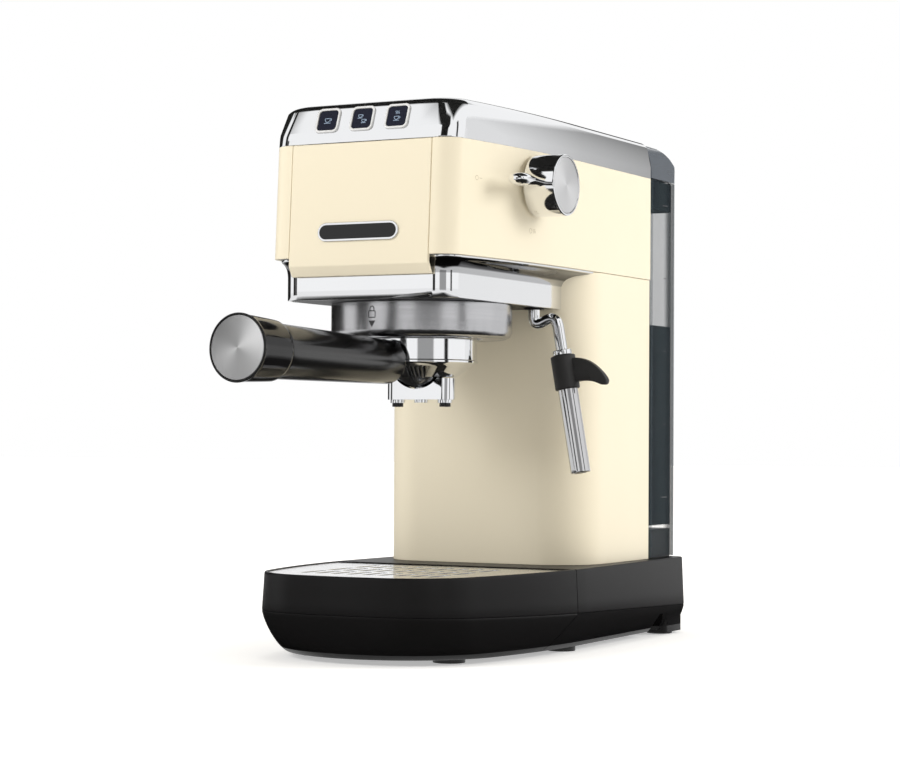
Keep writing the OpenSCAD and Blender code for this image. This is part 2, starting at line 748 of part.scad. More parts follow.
boss_r = screen_r - 1.2;
boss_z = screen_z0 + 1.2;

module screen_screw() color(steel) translate([0, group_y, 0]) {
    rod_z(4, screen_z0 - 1.4, screen_z0);
    rod_z(1.9, screen_z0 - 0.5, boss_z + 8);
}

boiler_top = head_z0 + 20;
outlet_z = boiler_top - 8;

module boiler() color([0.6, 0.6, 0.62]) translate([0, group_y, 0]) difference() {
    union() {
        rod_z(boiler_flange_r, flange_z0, flange_z1);
        rod_z(boiler_r, flange_z1 - 1, boiler_top);
        rod_z(boss_r, boss_z, flange_z0 + 1);
        translate([-9, 0, outlet_z]) rotate([-90, 0, 0]) cylinder(r = 4, h = boiler_r + 5);
        translate([0, -3, outlet_z]) rotate([0, 90, 0]) cylinder(r = 4, h = boiler_r + 3);
        translate([16, -5, boiler_top - 1]) cube([4, 10, 9]);
        translate([-20, -5, boiler_top - 1]) cube([4, 10, 9]);
    }
    rod_z(2, boss_z - 1, boss_z + 9);
    for (a = [45:90:315]) rotate(a) translate([bolt_circle, 0, 0]) rod_z(2.1, flange_z0 - 1, flange_z1 + 1);
}

module thermostats() color([0.75, 0.7, 0.6]) translate([0, group_y, 0])
    for (y = [-16, 16]) translate([0, y, boiler_top]) {
        rod_z(7.5, 0, 5);
        translate([-1.5, -4, 4.5]) cube([3, 8, 5]);
    }

module group_bolts() color(steel) translate([0, group_y, 0])
    for (a = [45:90:315]) rotate(a) translate([bolt_circle, 0, 0]) rod_z(2, flange_z0 + 0.1, flange_z1);

// ---------- pump, boards, valve and hoses ----------

pump_y = 62;
pump_r = 16;
cup_h = 14;
pump_z0 = base_h + 5;
pump_len = 92;
coil_w = 38;
coil_h = 34;
coil_at = 30;
board_w = 46;
board_h = 70;
board_t = 1.6;
board_x = -30;
board_y = body_rear - shell_wall - 12;
board_z0 = 128;
pump_x = 28;
riser_x = pump_x - pump_r - 22;

module pump_mount() color(black) translate([pump_x, pump_y, 0]) difference() {
    rod_z(pump_r + 4, base_h, base_h + cup_h);
    rod_z(pump_r + 0.05, pump_z0, tall);
}

module pump() color([0.75, 0.75, 0.78]) translate([pump_x, pump_y, 0]) {
    rod_z(pump_r, pump_z0, pump_z0 + pump_len);
    rod_z(10, pump_z0 + pump_len - 1, pump_z0 + pump_len + 12);
    rod_z(3.5, pump_z0 + pump_len + 10, pump_z0 + pump_len + 22);
    translate([-coil_w / 2, -coil_w / 2, pump_z0 + coil_at]) cube([coil_w, coil_w, coil_h]);
    translate([0, 0, pump_z0 + cup_h + 6]) rotate([0, -90, 0]) cylinder(r = 3.5, h = pump_r + 8);
}

module control_board() color([0.1, 0.4, 0.2]) {
    translate([board_x - board_w / 2, board_y, board_z0]) cube([board_w, board_t, board_h]);
    translate([board_x - 16, board_y - 14, board_z0 + 8]) cube([20, 14.5, 16]);
    translate([board_x + 2, board_y - 10, board_z0 + 34]) cube([14, 10.5, 20]);
    translate([board_x - 12, board_y + 0.5, board_z0 + 52]) rotate([90, 0, 0]) cylinder(r = 5, h = 18);
}

valve_w = 16;
valve_len = 18;
post_w = 12;
valve_x1 = body_w / 2 - shell_wall - 4;
valve_x0 = valve_x1 - valve_len;

module steam_valve() color([0.72, 0.6, 0.3]) difference() {
    union() {
        translate([valve_x0, -knob_front - valve_w / 2, knob_z - valve_w / 2]) cube([valve_len, valve_w, valve_w]);
        translate([valve_x0 + 3, -knob_front - post_w / 2, head_z0 + floor_t])
            cube([post_w, post_w, knob_z - valve_w / 2 - head_z0 - floor_t + 1]);
        translate([valve_x0 - 8, -knob_front, knob_z]) rotate([0, 90, 0]) cylinder(r = spigot_r, h = spigot_len);
        translate([valve_x0 + 9, -knob_front + valve_w / 2 - 1, knob_z]) rotate([-90, 0, 0]) cylinder(r = spigot_r, h = spigot_len);
    }
    translate([valve_x1 - 12, -knob_front, knob_z]) rotate([0, 90, 0]) cylinder(r = spindle_r + running, h = 20);
}

hose_r = 3;
hose_bend = 9.5;
hose_turn_z = 205;
hose_top_z = 215;
hose_back_y = 50;
hose_mid_y = 40;
spigot_r = 3.5;
spigot_len = 9;

module suction_hose() color([0.9, 0.9, 0.88])
    hose(rounded_route([[valve_x, valve_y, base_h - 9], [valve_x, valve_y, 24], [riser_x, 90, 24],
        [riser_x, pump_y, 24], [riser_x, pump_y, pump_z0 + cup_h + 6],
        [pump_x - pump_r - 8, pump_y, pump_z0 + cup_h + 6]], 8), hose_r, [1, 0.3, 0]);

module pressure_hose() color([0.85, 0.85, 0.9])
    hose(rounded_route([[pump_x, pump_y, pump_z0 + pump_len + 22], [pump_x, pump_y, hose_turn_z], [0, hose_back_y, hose_top_z],
        [0, hose_mid_y, outlet_z], [-9, 10, outlet_z], [-9, group_y + boiler_r + 5, outlet_z]], 8), hose_r, [1, 0, 0.02]);

module steam_pipe() color(steel) {
    hose(rounded_route([[boiler_r + 3, group_y - 3, outlet_z], [boiler_r + 8.5, group_y - 3, outlet_z],
        [boiler_r + 8.5, group_y - 3, outlet_z + 18], [valve_x0 - 17, -knob_front, knob_z - 8],
        [valve_x0 - 17, -knob_front, knob_z], [valve_x0 - 8, -knob_front, knob_z]], 3.5), 2, [0, 1, 0.1]);
    hose(rounded_route([[valve_x0 + 9, -knob_front + valve_w / 2 + 8, knob_z], [valve_x0 + 9, -20, knob_z],
        [wand_x, -wand_front, knob_z - 10], [wand_x, -wand_front, socket_top + 2.3]], 6), 2, [1, 0, 0.1]);
}

module tank_coupling() color(black) translate([valve_x, valve_y, 0]) difference() {
    union() {
        rod_z(8.9, base_h - base_wall - 4, seat_z);
        rod_z(4, base_h - 9, base_h - base_wall - 3);
    }
    rod_z(6, seat_z - 8, seat_z + 1);
    rod_z(1.5, base_h - 20, seat_z);
}

module housing_screws() color(steel) at_screws() {
    rod_z(screw_head_r, head_sink - screw_head_t, head_sink);
    rod_z(screw_r, head_sink - 0.1, shell_wall + boss_len - 1);
}

// ---------- steam knob ----------

knob_base = 68.4;
disc_t = 1.4;

module about_knob() {
    translate([0, -knob_front, knob_z]) rotate([0, 90, 0]) children();
}

lever_x0 = knob_base + 2.4;
lever_w = knob_face - disc_t - 2.8 - lever_x0;

module steam_knob() color(chrome) about_knob() {
    rotate_extrude() polygon([[spindle_r, knob_base], [knob_r, knob_base], [knob_r, knob_face - 0.6],
        [knob_r - 0.6, knob_face], [knob_r - 1.6, knob_face], [knob_r - 1.6, knob_face - disc_t],
        [0, knob_face - disc_t], [0, knob_base + 10], [spindle_r, knob_base + 10]]);
    translate([-lever_tip / 2, -lever_len + lever_tip / 2, lever_x0])
        cube([lever_tip, lever_len - lever_tip / 2 - knob_r + 2, lever_w]);
    translate([0, -lever_len + lever_tip / 2, lever_x0]) cylinder(r = lever_tip / 2, h = lever_w);
}

module knob_disc() color(steel) about_knob()
    rod_z(knob_r - 1.7, knob_face - disc_t, knob_face - 0.3);

module valve_spindle() color(steel) about_knob()
    rod_z(spindle_r, valve_x1 - 10, knob_base + 9.9);

// ---------- steam wand ----------

socket_top = surround_z1 + 4.8;
swivel_r = wand_r + 0.8;
elbow_z = collar_z0 - 8;
neck_swing = 3.5;
nut_at = 17;
nut_len = 3.2;
grip_at = nut_at + nut_len;
wand_grip_len = 20;
sleeve_at = grip_at + wand_grip_len - 6;
nozzle_at = sleeve_at + sleeve_len - 16;

// Along the slanted part of the wand: local Z runs down the wand from its elbow
module along_wand() {
    translate([wand_x + wand_out, -wand_front, elbow_z]) rotate([0, 180 - wand_tilt, 0]) rotate(180) children();
}

module wand_socket() color(black) translate([wand_x, -wand_front, 0])
    tube_z(socket_r, swivel_r + running, collar_z0 - 0.9, socket_top);

module wand_tube() color(chrome) {
    tip = nozzle_at + 2;
    dir = [sin(wand_tilt), 0, -cos(wand_tilt)];
    elbow = [wand_x + wand_out, -wand_front, elbow_z];
    hose(rounded_route([[wand_x, -wand_front, socket_top + 1], [wand_x, -wand_front, elbow_z - neck_swing],
        elbow - neck_swing * dir, elbow + 12 * dir, elbow + tip * dir], 7, 8), wand_r, [0, 1, 0], 20);
    translate([wand_x, -wand_front, 0]) {
        rod_z(swivel_r, collar_z0 + 0.5, socket_top + 0.3);
        rod_z(swivel_r + 1, socket_top + 0.1, socket_top + 2.1);
    }
}

module wand_nut() color(chrome) along_wand() tube_z(5.6, wand_r + 0.02, nut_at, grip_at);

module wand_grip() color(black) along_wand() difference() {
    union() {
        rod_z(wand_grip_r, grip_at, grip_at + wand_grip_len);
        rotate([90, 0, 0]) translate([0, 0, -2.5]) linear_extrude(5)
            polygon([[0, grip_at + 2], [wand_grip_r + 2, grip_at + 2.2], [wand_grip_r + 9, grip_at + 6],
                [wand_grip_r + 15, grip_at + 12], [wand_grip_r + 18.5, grip_at + 18], [wand_grip_r + 18, grip_at + 21],
                [wand_grip_r + 15.5, grip_at + 21.5], [wand_grip_r + 10, grip_at + 18.6],
                [wand_grip_r + 3, grip_at + 17], [0, grip_at + 17]]);
    }
    rod_z(wand_r + 0.02, grip_at - 1, sleeve_at);
    rod_z(sleeve_r + running, sleeve_at - 0.1, grip_at + 60);
}

module frother_sleeve() color(steel) along_wand() difference() {
    rod_z(sleeve_r, sleeve_at, sleeve_at + sleeve_len);
    rod_z(sleeve_r - 0.8, sleeve_at - 1, sleeve_at + sleeve_len - 1.2);
    rod_z(sleeve_r - 2, sleeve_at + 4, sleeve_at + sleeve_len + 2);
    translate([0, 0, sleeve_at + sleeve_len - 14]) rotate([90, 0, 30]) cylinder(r = 0.7, h = 20);
}

module steam_nozzle() color(steel) along_wand()
    tube_z(wand_r + 1, wand_r + 0.02, nozzle_at - 10, nozzle_at);

// ---------- portafilter ----------

module portafilter_frame() {
    translate([0, group_y, 0]) rotate(-rest_turn) children();
}

bowl_z0 = 164.6;
spout_z0 = 142.6;
spout_z1 = 157.4;
dome_r = 19;
dome_z = spout_z0 + 27.2;
handle_z = 164.2;
rim_r = mouth_r - 0.5;
neck_r = 6.5;
cavity_r = basket_r + 2.2;
cavity_z = rim_z - basket_depth - 3.2;

module portafilter_body() color(chrome) portafilter_frame() {
    difference() {
        union() {
            rotate_extrude() polygon(concat([for (a = [asin(4 / dome_r):5:48]) dome_r * [sin(a), -cos(a)]
                + [0, dome_z]], [[20, spout_z1 - 0.2], [bowl_r - 1.5, bowl_z0], [bowl_r + 0.5, bowl_z0 + 0.8],
                [bowl_r + 0.5, bowl_z0 + 1.8], [bowl_r, bowl_z0 + 2.4], [bowl_r, lip_z + 0.2], [rim_r - 1, lip_z + 0.2],
                [rim_r - 1, channel_z], [bowl_r, channel_z], [bowl_r, rim_z - 1], [cavity_r, rim_z - 1],
                [cavity_r, cavity_z], [4, cavity_z - 1.5]]));
            for (s = [0, 180]) rotate(s + rest_turn) intersection() {
                wedge(lug_angle, 60, lip_z + 0.2, channel_z - 0.6);
                tube_z(mouth_r + lug_reach, rim_r - 3, lip_z + 0.2, channel_z - 0.6);
            }
            translate([0, 0, handle_z]) rotate([90 - handle_rise, 0, 0]) translate([0, neck_r, bowl_r - 2])
                cylinder(r = neck_r, h = 6);
        }
    }
}

module filter_basket() color(steel) portafilter_frame() {
    wall = 0.8;
    z0 = rim_z - basket_depth;
    rotate_extrude() polygon([[0, z0 - wall], [basket_r - 3, z0 - wall], [basket_r + wall - 0.6, z0 + 3],
        [basket_r + wall, rim_z - 1], [bowl_r - 0.4, rim_z - 1], [bowl_r - 0.4, rim_z],
        [basket_r, rim_z], [basket_r - 0.6, z0 + 3], [basket_r - 3.6, z0], [0, z0]]);
}

module basket_spring() color(steel) portafilter_frame() rotate(200)
    rotate_extrude(angle = 320) translate([cavity_r - 0.7, rim_z - 7]) circle(r = 0.6, $fn = 24);

spout_r = 5.8;

module spout_plan() {
    square([spout_pitch, 2 * spout_r], center = true);
    for (s = [-1, 1]) translate([s * spout_pitch / 2, 0]) circle(r = spout_r);
}

// A bar with two outlets, its top hollowed to the curve of the bowl's underside
module coffee_spout() color(chrome) portafilter_frame() difference() {
    union() {
        rod_z(3.95, spout_z0 + 6, cavity_z - 1.6);
        translate([0, 0, spout_z0 + 1.9]) linear_extrude(spout_z1 - spout_z0 - 2.6) spout_plan();
        rod_z(4, spout_z0 + 0.2, spout_z0 + 3);
        for (s = [-1, 1]) translate([s * spout_pitch / 2, 0, spout_z0]) cylinder(r = 4.2, h = 3);
    }
    difference() {
        translate([0, 0, dome_z]) rotate([90, 0, 0]) cylinder(r = dome_r + 0.2, h = 40, center = true);
        rod_z(3.95, 0, tall);
    }
    rod_z(2, spout_z0 + 5, tall);
    translate([-spout_pitch / 2 - 2, -2, spout_z0 + 4]) cube([spout_pitch + 4, 4, 3]);
    for (s = [-1, 1]) translate([s * spout_pitch / 2, 0, 0]) rod_z(2, spout_z0 - 5, spout_z0 + 6);
}

module spout_tips() color(black) portafilter_frame()
    for (s = [-1, 1]) translate([s * spout_pitch / 2, 0, 0]) tube_z(3.2, 2, spout_z0 - 2.2, spout_z0);

module along_handle() {
    portafilter_frame() translate([0, 0, handle_z]) rotate([90 - handle_rise, 0, 0]) children();
}

grip_at_bowl = bowl_r + 0.8;
cap_at = handle_reach - handle_cap_len;
bolt_r = 4;

module handle_grip() color(black) along_handle() difference() {
    rotate_extrude() polygon([[0, grip_at_bowl], [grip_r0 - 3, grip_at_bowl], [grip_r0 - 0.8, grip_at_bowl + 1.2],
        [grip_r0, grip_at_bowl + 4], [grip_r1, cap_at - 0.5], [grip_r1 - 1, cap_at], [0, cap_at]]);
    rod_z(bolt_r, 0, tall);
    translate([0, neck_r, 0]) rod_z(neck_r + 0.05, 0, grip_at_bowl + 4.5);
}

module handle_cap() color(black) along_handle() difference() {
    rotate_extrude() polygon([[0, cap_at], [grip_r1 + 0.6, cap_at], [grip_r1 + 1.6, cap_at + 1.2],
        [handle_end_r - 0.3, handle_reach - 2.4], [handle_end_r, handle_reach - 1], [handle_end_r - 0.6, handle_reach],
        [0, handle_reach]]);
    rod_z(bolt_r, 0, cap_at + 12);
    rod_z(handle_end_r - 1.2, handle_reach - 1.6, tall);
}

module handle_disc() color(steel) along_handle() rod_z(handle_end_r - 1.3, handle_reach - 1.6, handle_reach - 0.2);

module handle_bolt() color(steel) along_handle() rod_z(bolt_r - 0.05, grip_at_bowl + 5, cap_at + 12);

// ---------- water tank ----------

module water_tank() color([0.25, 0.3, 0.34, 0.5]) difference() {
    union() {
        difference() {
            prism(outline(tank_outline), tank_z0, tank_top);
            prism(inset(tank_outline, tank_wall), tank_floor + tank_wall, tall);
            prism(inset(tank_outline, tank_wall), 0, tank_floor);
        }
        for (s = [-1, 1]) translate([s * ear_x, hinge_y, 0]) ear();
    }
    translate([0, hinge_y, hinge_z]) rotate([0, 90, 0]) translate([0, 0, -tall / 2])
        cylinder(r = pin_r + running, h = tall);
    translate([valve_x, valve_y, 0]) rod_z(7, tank_floor - 1, tank_floor + tank_wall + 1);
}

lid_z0 = tank_top + 0.5;
knuckle_r = 2.6;
hinge_y = tank_rear - knuckle_r;
hinge_z = lid_z0 + knuckle_r;
ear_x = body_w / 2 - tank_wall - 6;
ear_t = 3;

module ear() {
    translate([-ear_t / 2, -knuckle_r, tank_top - 8]) cube([ear_t, knuckle_r + 1, 8]);
    translate([-ear_t / 2, 0, hinge_z]) rotate([0, 90, 0]) cylinder(r = knuckle_r, h = ear_t);
    translate([-ear_t / 2, -knuckle_r, tank_top - 1]) cube([ear_t, 2 * knuckle_r - 0.4, hinge_z - tank_top + 1]);
}

module tank_valve() color(black) translate([valve_x, valve_y, 0]) difference() {
    union() {
        rod_z(6.95, tank_floor, tank_floor + tank_wall);
        rod_z(9, tank_floor + tank_wall, tank_floor + tank_wall + 1.5);
        rod_z(5.4, tank_floor - 6, tank_floor + 0.5);
    }
    rod_z(2.5, tank_floor - 7, tank_floor + 20);
}

lid_front = tank_front;
lid_h = cap_top - 1 - lid_z0;
lid_flat = 14;

// The lid's side profile, inset by d: a flat top that falls in a quarter ellipse to the hinge, and a rear edge
// that is round about the hinge's axis, so that it clears the tank as the lid turns
function lid_side(d) =
    let (ra = tank_len - lid_flat - d, rb = lid_h - d, cy = lid_front + lid_flat, a0 = asin(knuckle_r / lid_h))
    concat([[lid_front + d, lid_z0 - (d > 0 ? 5 : 0)], [lid_front + d, lid_z0 + rb]],
        [for (i = [0:12]) let (a = 90 - (90 - a0) * i / 12) [cy + ra * cos(a), lid_z0 + rb * sin(a)]],
        d > 0 ? [[cy + ra, lid_z0 - 5]]
            : [for (a = [-15:-15:-90]) [hinge_y + knuckle_r * cos(a), hinge_z + knuckle_r * sin(a)]]);

// The lid's front view, inset by d: a flat top with rounded sides
function lid_section(d) =
    let (w = body_w / 2 - d, top = lid_z0 + lid_h - d, r = cap_side_inset, drop = lid_h - d)
    concat([[-w, lid_z0 - 6]], [for (a = [0:15:90]) [-w + r * (1 - cos(a)), top - drop * (1 - sin(a))]],
        [for (a = [90:-15:0]) [w - r * (1 - cos(a)), top - drop * (1 - sin(a))]], [[w, lid_z0 - 6]]);

module along_y(pts) {
    translate([0, tall, 0]) rotate([90, 0, 0]) linear_extrude(tall) polygon(pts);
}

module tank_lid() color([0.2, 0.22, 0.25]) {
    difference() {
        intersection() {
            across(body_w, lid_side(0));
            along_y(lid_section(0));
            prism(outline(tank_outline), 0, tall);
        }
        difference() {
            intersection() {
                across(body_w, lid_side(lid_wall));
                along_y(lid_section(lid_wall));
            }
            for (s = [-1, 1]) translate([s * (ear_x - ear_t / 2 - 3.5) - 1.5, hinge_y - 4, lid_z0 - 6]) cube([3, 20, 30]);
        }
        for (s = [-1, 1]) translate([s * ear_x - ear_t / 2 - 0.4, hinge_y - 4, lid_z0 - 5]) cube([ear_t + 0.8, 12, 12]);
    }
    for (s = [-1, 1]) translate([s * ear_x - (s > 0 ? 5 : 2.4), hinge_y, hinge_z]) rotate([0, 90, 0])
        cylinder(r = pin_r, h = 7.4);
}

base_housing();
base_pan();
rear_feet();
cord_gland();
column_shell();
head_shell();
head_floor();
front_panel();
back_plate();
chrome_cap();
top_plate();
button_frames();
button_board();
one_cup_button();
two_cup_button();
steam_button();
chrome_collar();
group_surround();
group_ring();
group_gasket();
shower_screen();
screen_screw();
boiler();
thermostats();
group_bolts();
pump();
pump_mount();
control_board();
steam_valve();
suction_hose();
pressure_hose();
steam_pipe();
tank_coupling();
housing_screws();
steam_knob();
knob_disc();
valve_spindle();
wand_socket();
wand_tube();
wand_nut();
wand_grip();
steam_nozzle();
frother_sleeve();
portafilter_body();
filter_basket();
basket_spring();
coffee_spout();
spout_tips();
handle_grip();
handle_cap();
handle_disc();
handle_bolt();
tray_bowl();
tray_frame();
tray_feet();
cup_grid();
water_tank();
tank_valve();
tank_lid();
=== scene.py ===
# %% [markdown]
# # A slim espresso machine
# The CAD gives every part its place and its joint. Here the shells that catch the light are drawn again as
# smooth surfaces, and every part gets the finish of its real one.

# %% Load the CAD frame
import math
import bmesh
import bpy
import numpy as np
from mathutils import Matrix, Vector


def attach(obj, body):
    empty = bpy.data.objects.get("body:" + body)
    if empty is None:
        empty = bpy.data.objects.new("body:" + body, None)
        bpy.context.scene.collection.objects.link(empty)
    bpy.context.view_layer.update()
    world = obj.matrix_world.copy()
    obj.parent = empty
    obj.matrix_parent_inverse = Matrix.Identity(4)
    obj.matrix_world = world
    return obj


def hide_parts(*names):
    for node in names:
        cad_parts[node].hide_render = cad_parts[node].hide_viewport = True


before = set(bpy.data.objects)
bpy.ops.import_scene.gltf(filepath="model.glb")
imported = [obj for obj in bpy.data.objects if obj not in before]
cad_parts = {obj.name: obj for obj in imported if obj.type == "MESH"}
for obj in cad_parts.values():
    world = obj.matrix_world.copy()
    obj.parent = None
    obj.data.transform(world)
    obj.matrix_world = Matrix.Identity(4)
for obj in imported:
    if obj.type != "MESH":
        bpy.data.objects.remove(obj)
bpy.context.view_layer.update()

# %% [markdown]
# ## The camera
# A long lens from the front right keeps the machine's upright edges upright. A constraint could aim it, but
# a matrix also holds its trace of roll, so its axes are worked out from bearing, pitch and roll.

# %% Camera
BEARING, PITCH, ROLL = np.radians([28.15, -1.25, 0.34])
CAMERA_PLACE = (0.65185, -1.2435, 0.1244)
FOCAL_PIXELS, PIXELS_WIDE, SENSOR_MM = 2357, 900, 36
back = Vector((math.sin(BEARING) * math.cos(PITCH), -math.cos(BEARING) * math.cos(PITCH), math.sin(PITCH)))
right = Vector((0, 0, 1)).cross(back).normalized()
up = back.cross(right)
right, up = right * math.cos(ROLL) + up * math.sin(ROLL), up * math.cos(ROLL) - right * math.sin(ROLL)
lens = bpy.data.cameras.new("lens")
lens.sensor_width = SENSOR_MM
lens.lens = FOCAL_PIXELS / PIXELS_WIDE * SENSOR_MM
camera = bpy.data.objects.new("camera", lens)
camera.matrix_world = Matrix.Translation(CAMERA_PLACE) @ Matrix((right, up, back)).transposed().to_4x4()
bpy.context.scene.collection.objects.link(camera)
bpy.context.scene.camera = camera
bpy.context.scene.view_settings.view_transform = "Standard"
print("lens", round(lens.lens, 1), "mm")

# %% [markdown]
# ## Shader sums as Python sums
# A node tree is easier to read as arithmetic. `Value` wraps an output socket, so `1 - mask * 0.5` makes its
# own Math nodes. `Nodes` makes every other node, and `Finish` is a material with such nodes.

# %% Values
def operator(operation, swap=False):
    """A method that makes one Math node; swap puts the other number first."""
    def make(self, other):
        pair = [other, self] if swap else [self, other]
        return self.nodes.node("ShaderNodeMath", {"operation": operation}, pair)
    return make


class Value:
    """One output socket, with the operators of a number."""
    def __init__(self, nodes, socket):
        self.nodes, self.socket = nodes, socket

    def apply(self, operation, *others, clamp=False):
        """A Math node on this value and the others."""
        settings = {"operation": operation, "use_clamp": clamp}
        return self.nodes.node("ShaderNodeMath", settings, [self, *others])

    def clamped(self):
        """The value kept between 0 and 1."""
        return self.apply("ADD", 0, clamp=True)

    __add__ = __radd__ = operator("ADD")
    __mul__ = __rmul__ = operator("MULTIPLY")
    __sub__, __rsub__ = operator("SUBTRACT"), operator("SUBTRACT", swap=True)
    __truediv__, __pow__ = operator("DIVIDE"), operator("POWER")


# %% Nodes and finishes
class Nodes:
    """A node tree and a maker for each kind of node that the finishes share."""
    def __init__(self, tree):
        self.tree = tree

    def put(self, socket, value):
        """A link from a Value, or else the socket's own number or colour."""
        if isinstance(value, Value):
            self.tree.links.new(value.socket, socket)
        else:
            socket.default_value = value

    def node(self, kind, settings=None, inputs=(), output=0):
        """Any node, from its type, its settings and what goes into its sockets; output is the one wanted."""
        made = self.tree.nodes.new(kind)
        for key, value in (settings or {}).items():
            setattr(made, key, value)
        for key, value in inputs.items() if isinstance(inputs, dict) else enumerate(inputs):
            self.put(made.inputs[key], value)
        return Value(self, made.outputs[output])

    def place(self):
        """The place on the part, in metres."""
        return self.node("ShaderNodeTexCoord", output="Object")

    def ray(self, kind):
        """1 for rays of this kind, else 0."""
        return self.node("ShaderNodeLightPath", output=f"Is {kind} Ray")

    def axes(self, vector=None):
        """The x, y and z of a vector, or else of the place on the part."""
        cut = self.node("ShaderNodeSeparateXYZ", inputs=[vector or self.place()]).socket.node
        return [Value(self, socket) for socket in cut.outputs]

    def noise(self, scale, detail=2.0, rough=0.5, vector=None):
        """Soft noise with scale waves to the metre."""
        return self.node("ShaderNodeTexNoise", inputs={"Vector": vector or self.place(), "Scale": scale,
                                                       "Detail": detail, "Roughness": rough})

    def stretched(self, x, y, z):
        """The place with each axis multiplied: noise is drawn out where the factor is small."""
        return self.node("ShaderNodeVectorMath", {"operation": "MULTIPLY"}, [self.place(), (x, y, z)])

    def mix(self, share, a, b):
        """Colour a where share is 0, b where it is 1."""
        a, b = ((*colour, 1) if isinstance(colour, tuple) else colour for colour in (a, b))
        return self.node("ShaderNodeMix", {"data_type": "RGBA"}, {0: share, 6: a, 7: b}, 2)

    def bump(self, height, depth, strength=1.0):
        """A normal tilted by a height that goes from 0 to depth metres."""
        return self.node("ShaderNodeBump", inputs={"Height": height, "Distance": depth, "Strength": strength})


class Finish(Nodes):
    """A material; principled() sets its surface."""
    def __init__(self, name):
        self.material = bpy.data.materials.new(name)
        self.material.use_nodes = True
        super().__init__(self.material.node_tree)
        self.shader = self.tree.nodes["Principled BSDF"]
        print("finish", name)

    def principled(self, **values):
        for key, value in values.items():
            self.put(self.shader.inputs[key.replace("_", " ")], value)


def shade(colour, factor):
    """The colour with each part multiplied."""
    return tuple(part * factor for part in colour)


# %% [markdown]
# ## Finishes
# The shells are cream enamel under a clear coat, with a shallow waviness that softens reflections. A painted
# map could hold it, but noise on Object coordinates needs no map and stays put on the part.

# %% Cream gloss
cream = Finish("cream_gloss")
cream.principled(
    Base_Color=cream.mix(cream.noise(14, 3), (0.954, 0.872, 0.684), (0.968, 0.893, 0.714)),
    Roughness=cream.noise(60, 3) * 0.08 + 0.40, Coat_Weight=0.16, Coat_Roughness=0.34,
    Normal=cream.bump(cream.noise(120, 2), 4e-5))

# %% [markdown]
# Chrome is a mirror whose haze drifts a little, as polishing leaves it; on the collar a dark reflection is
# painted into the colour round its hollow. A picture of a room could be painted on it, but a true mirror
# shows the panels round it.
# Screws, grid and fittings are polished steel, greyer and less sharp.

# %% Chrome and polished steel
BAND_START, BAND_DEEP, BAND_END = 0.2122, 0.2155, 0.2204


def chrome_finish(name):
    """Bright chrome whose tone and haze drift a little; also gives back the tone."""
    made = Finish(name)
    tone = made.mix(made.noise(9), (0.84, 0.85, 0.865), (0.89, 0.895, 0.905))
    made.principled(Base_Color=tone, Metallic=1.0, Roughness=made.noise(25, 3) * 0.05 + 0.03)
    return made, tone


chrome, _ = chrome_finish("chrome_plate")
painted_reflection_chrome, tone = chrome_finish("chrome_painted_reflection")
# Painted reflection: round the collar's hollow, from BAND_START to BAND_END in height, the chrome is darkened
# towards near black in place of the dark underside it would mirror.
height = painted_reflection_chrome.axes()[2]
start, deep, end = ((gap + 0.5).clamped() for gap in (
    (height - BAND_START) * 1700, (height - BAND_DEEP) * 1200, (BAND_END - height) * 2500))
painted_dark_reflection = (start * 0.45 + deep * 0.5) * end
painted_reflection_chrome.principled(Base_Color=painted_reflection_chrome.mix(painted_dark_reflection, tone, (0.06, 0.06, 0.065)))
polished = Finish("polished_steel")
lines = polished.noise(700, vector=polished.stretched(1, 0.03, 1))
polished.principled(Base_Color=polished.mix(polished.noise(30), (0.74, 0.745, 0.75), (0.80, 0.80, 0.805)),
                    Metallic=1.0, Roughness=polished.noise(90, 4) * 0.08 + 0.12,
                    Normal=polished.bump(lines, 1.5e-5))

# %% [markdown]
# A turned part is brushed round its axis: noise that is squeezed along the height gives lines that run
# round. On a disc the lines are circles, so there the noise reads the distance from the centre, and the
# angle sets fans of painted highlight in the colour.

# %% Brushed metals
def brushed(name, colour, axes, depth=3e-5, rough=0.24, spread=0.16):
    """Metal with fine lines: noise at place times axes, so lines run where the factor is small."""
    metal = Finish(name)
    lines = metal.noise(900, 3, 0.6, metal.stretched(*axes))
    tone = metal.noise(300, vector=metal.stretched(*axes))
    metal.principled(Base_Color=metal.mix(tone, shade(colour, 0.84), colour), Metallic=1.0,
                     Roughness=lines * spread + rough, Normal=metal.bump(lines, depth, 0.7))
    return metal


ring_steel = brushed("brushed_group", (0.60, 0.60, 0.615), (0.02, 0.02, 1), 4e-5, 0.17, 0.12)
sleeve_steel = brushed("brushed_sleeve", (0.66, 0.66, 0.67), (1, 1, 0.02), 1e-5, 0.04, 0.08)
plate_steel = brushed("brushed_plate", (0.70, 0.70, 0.71), (1, 0.02, 1))


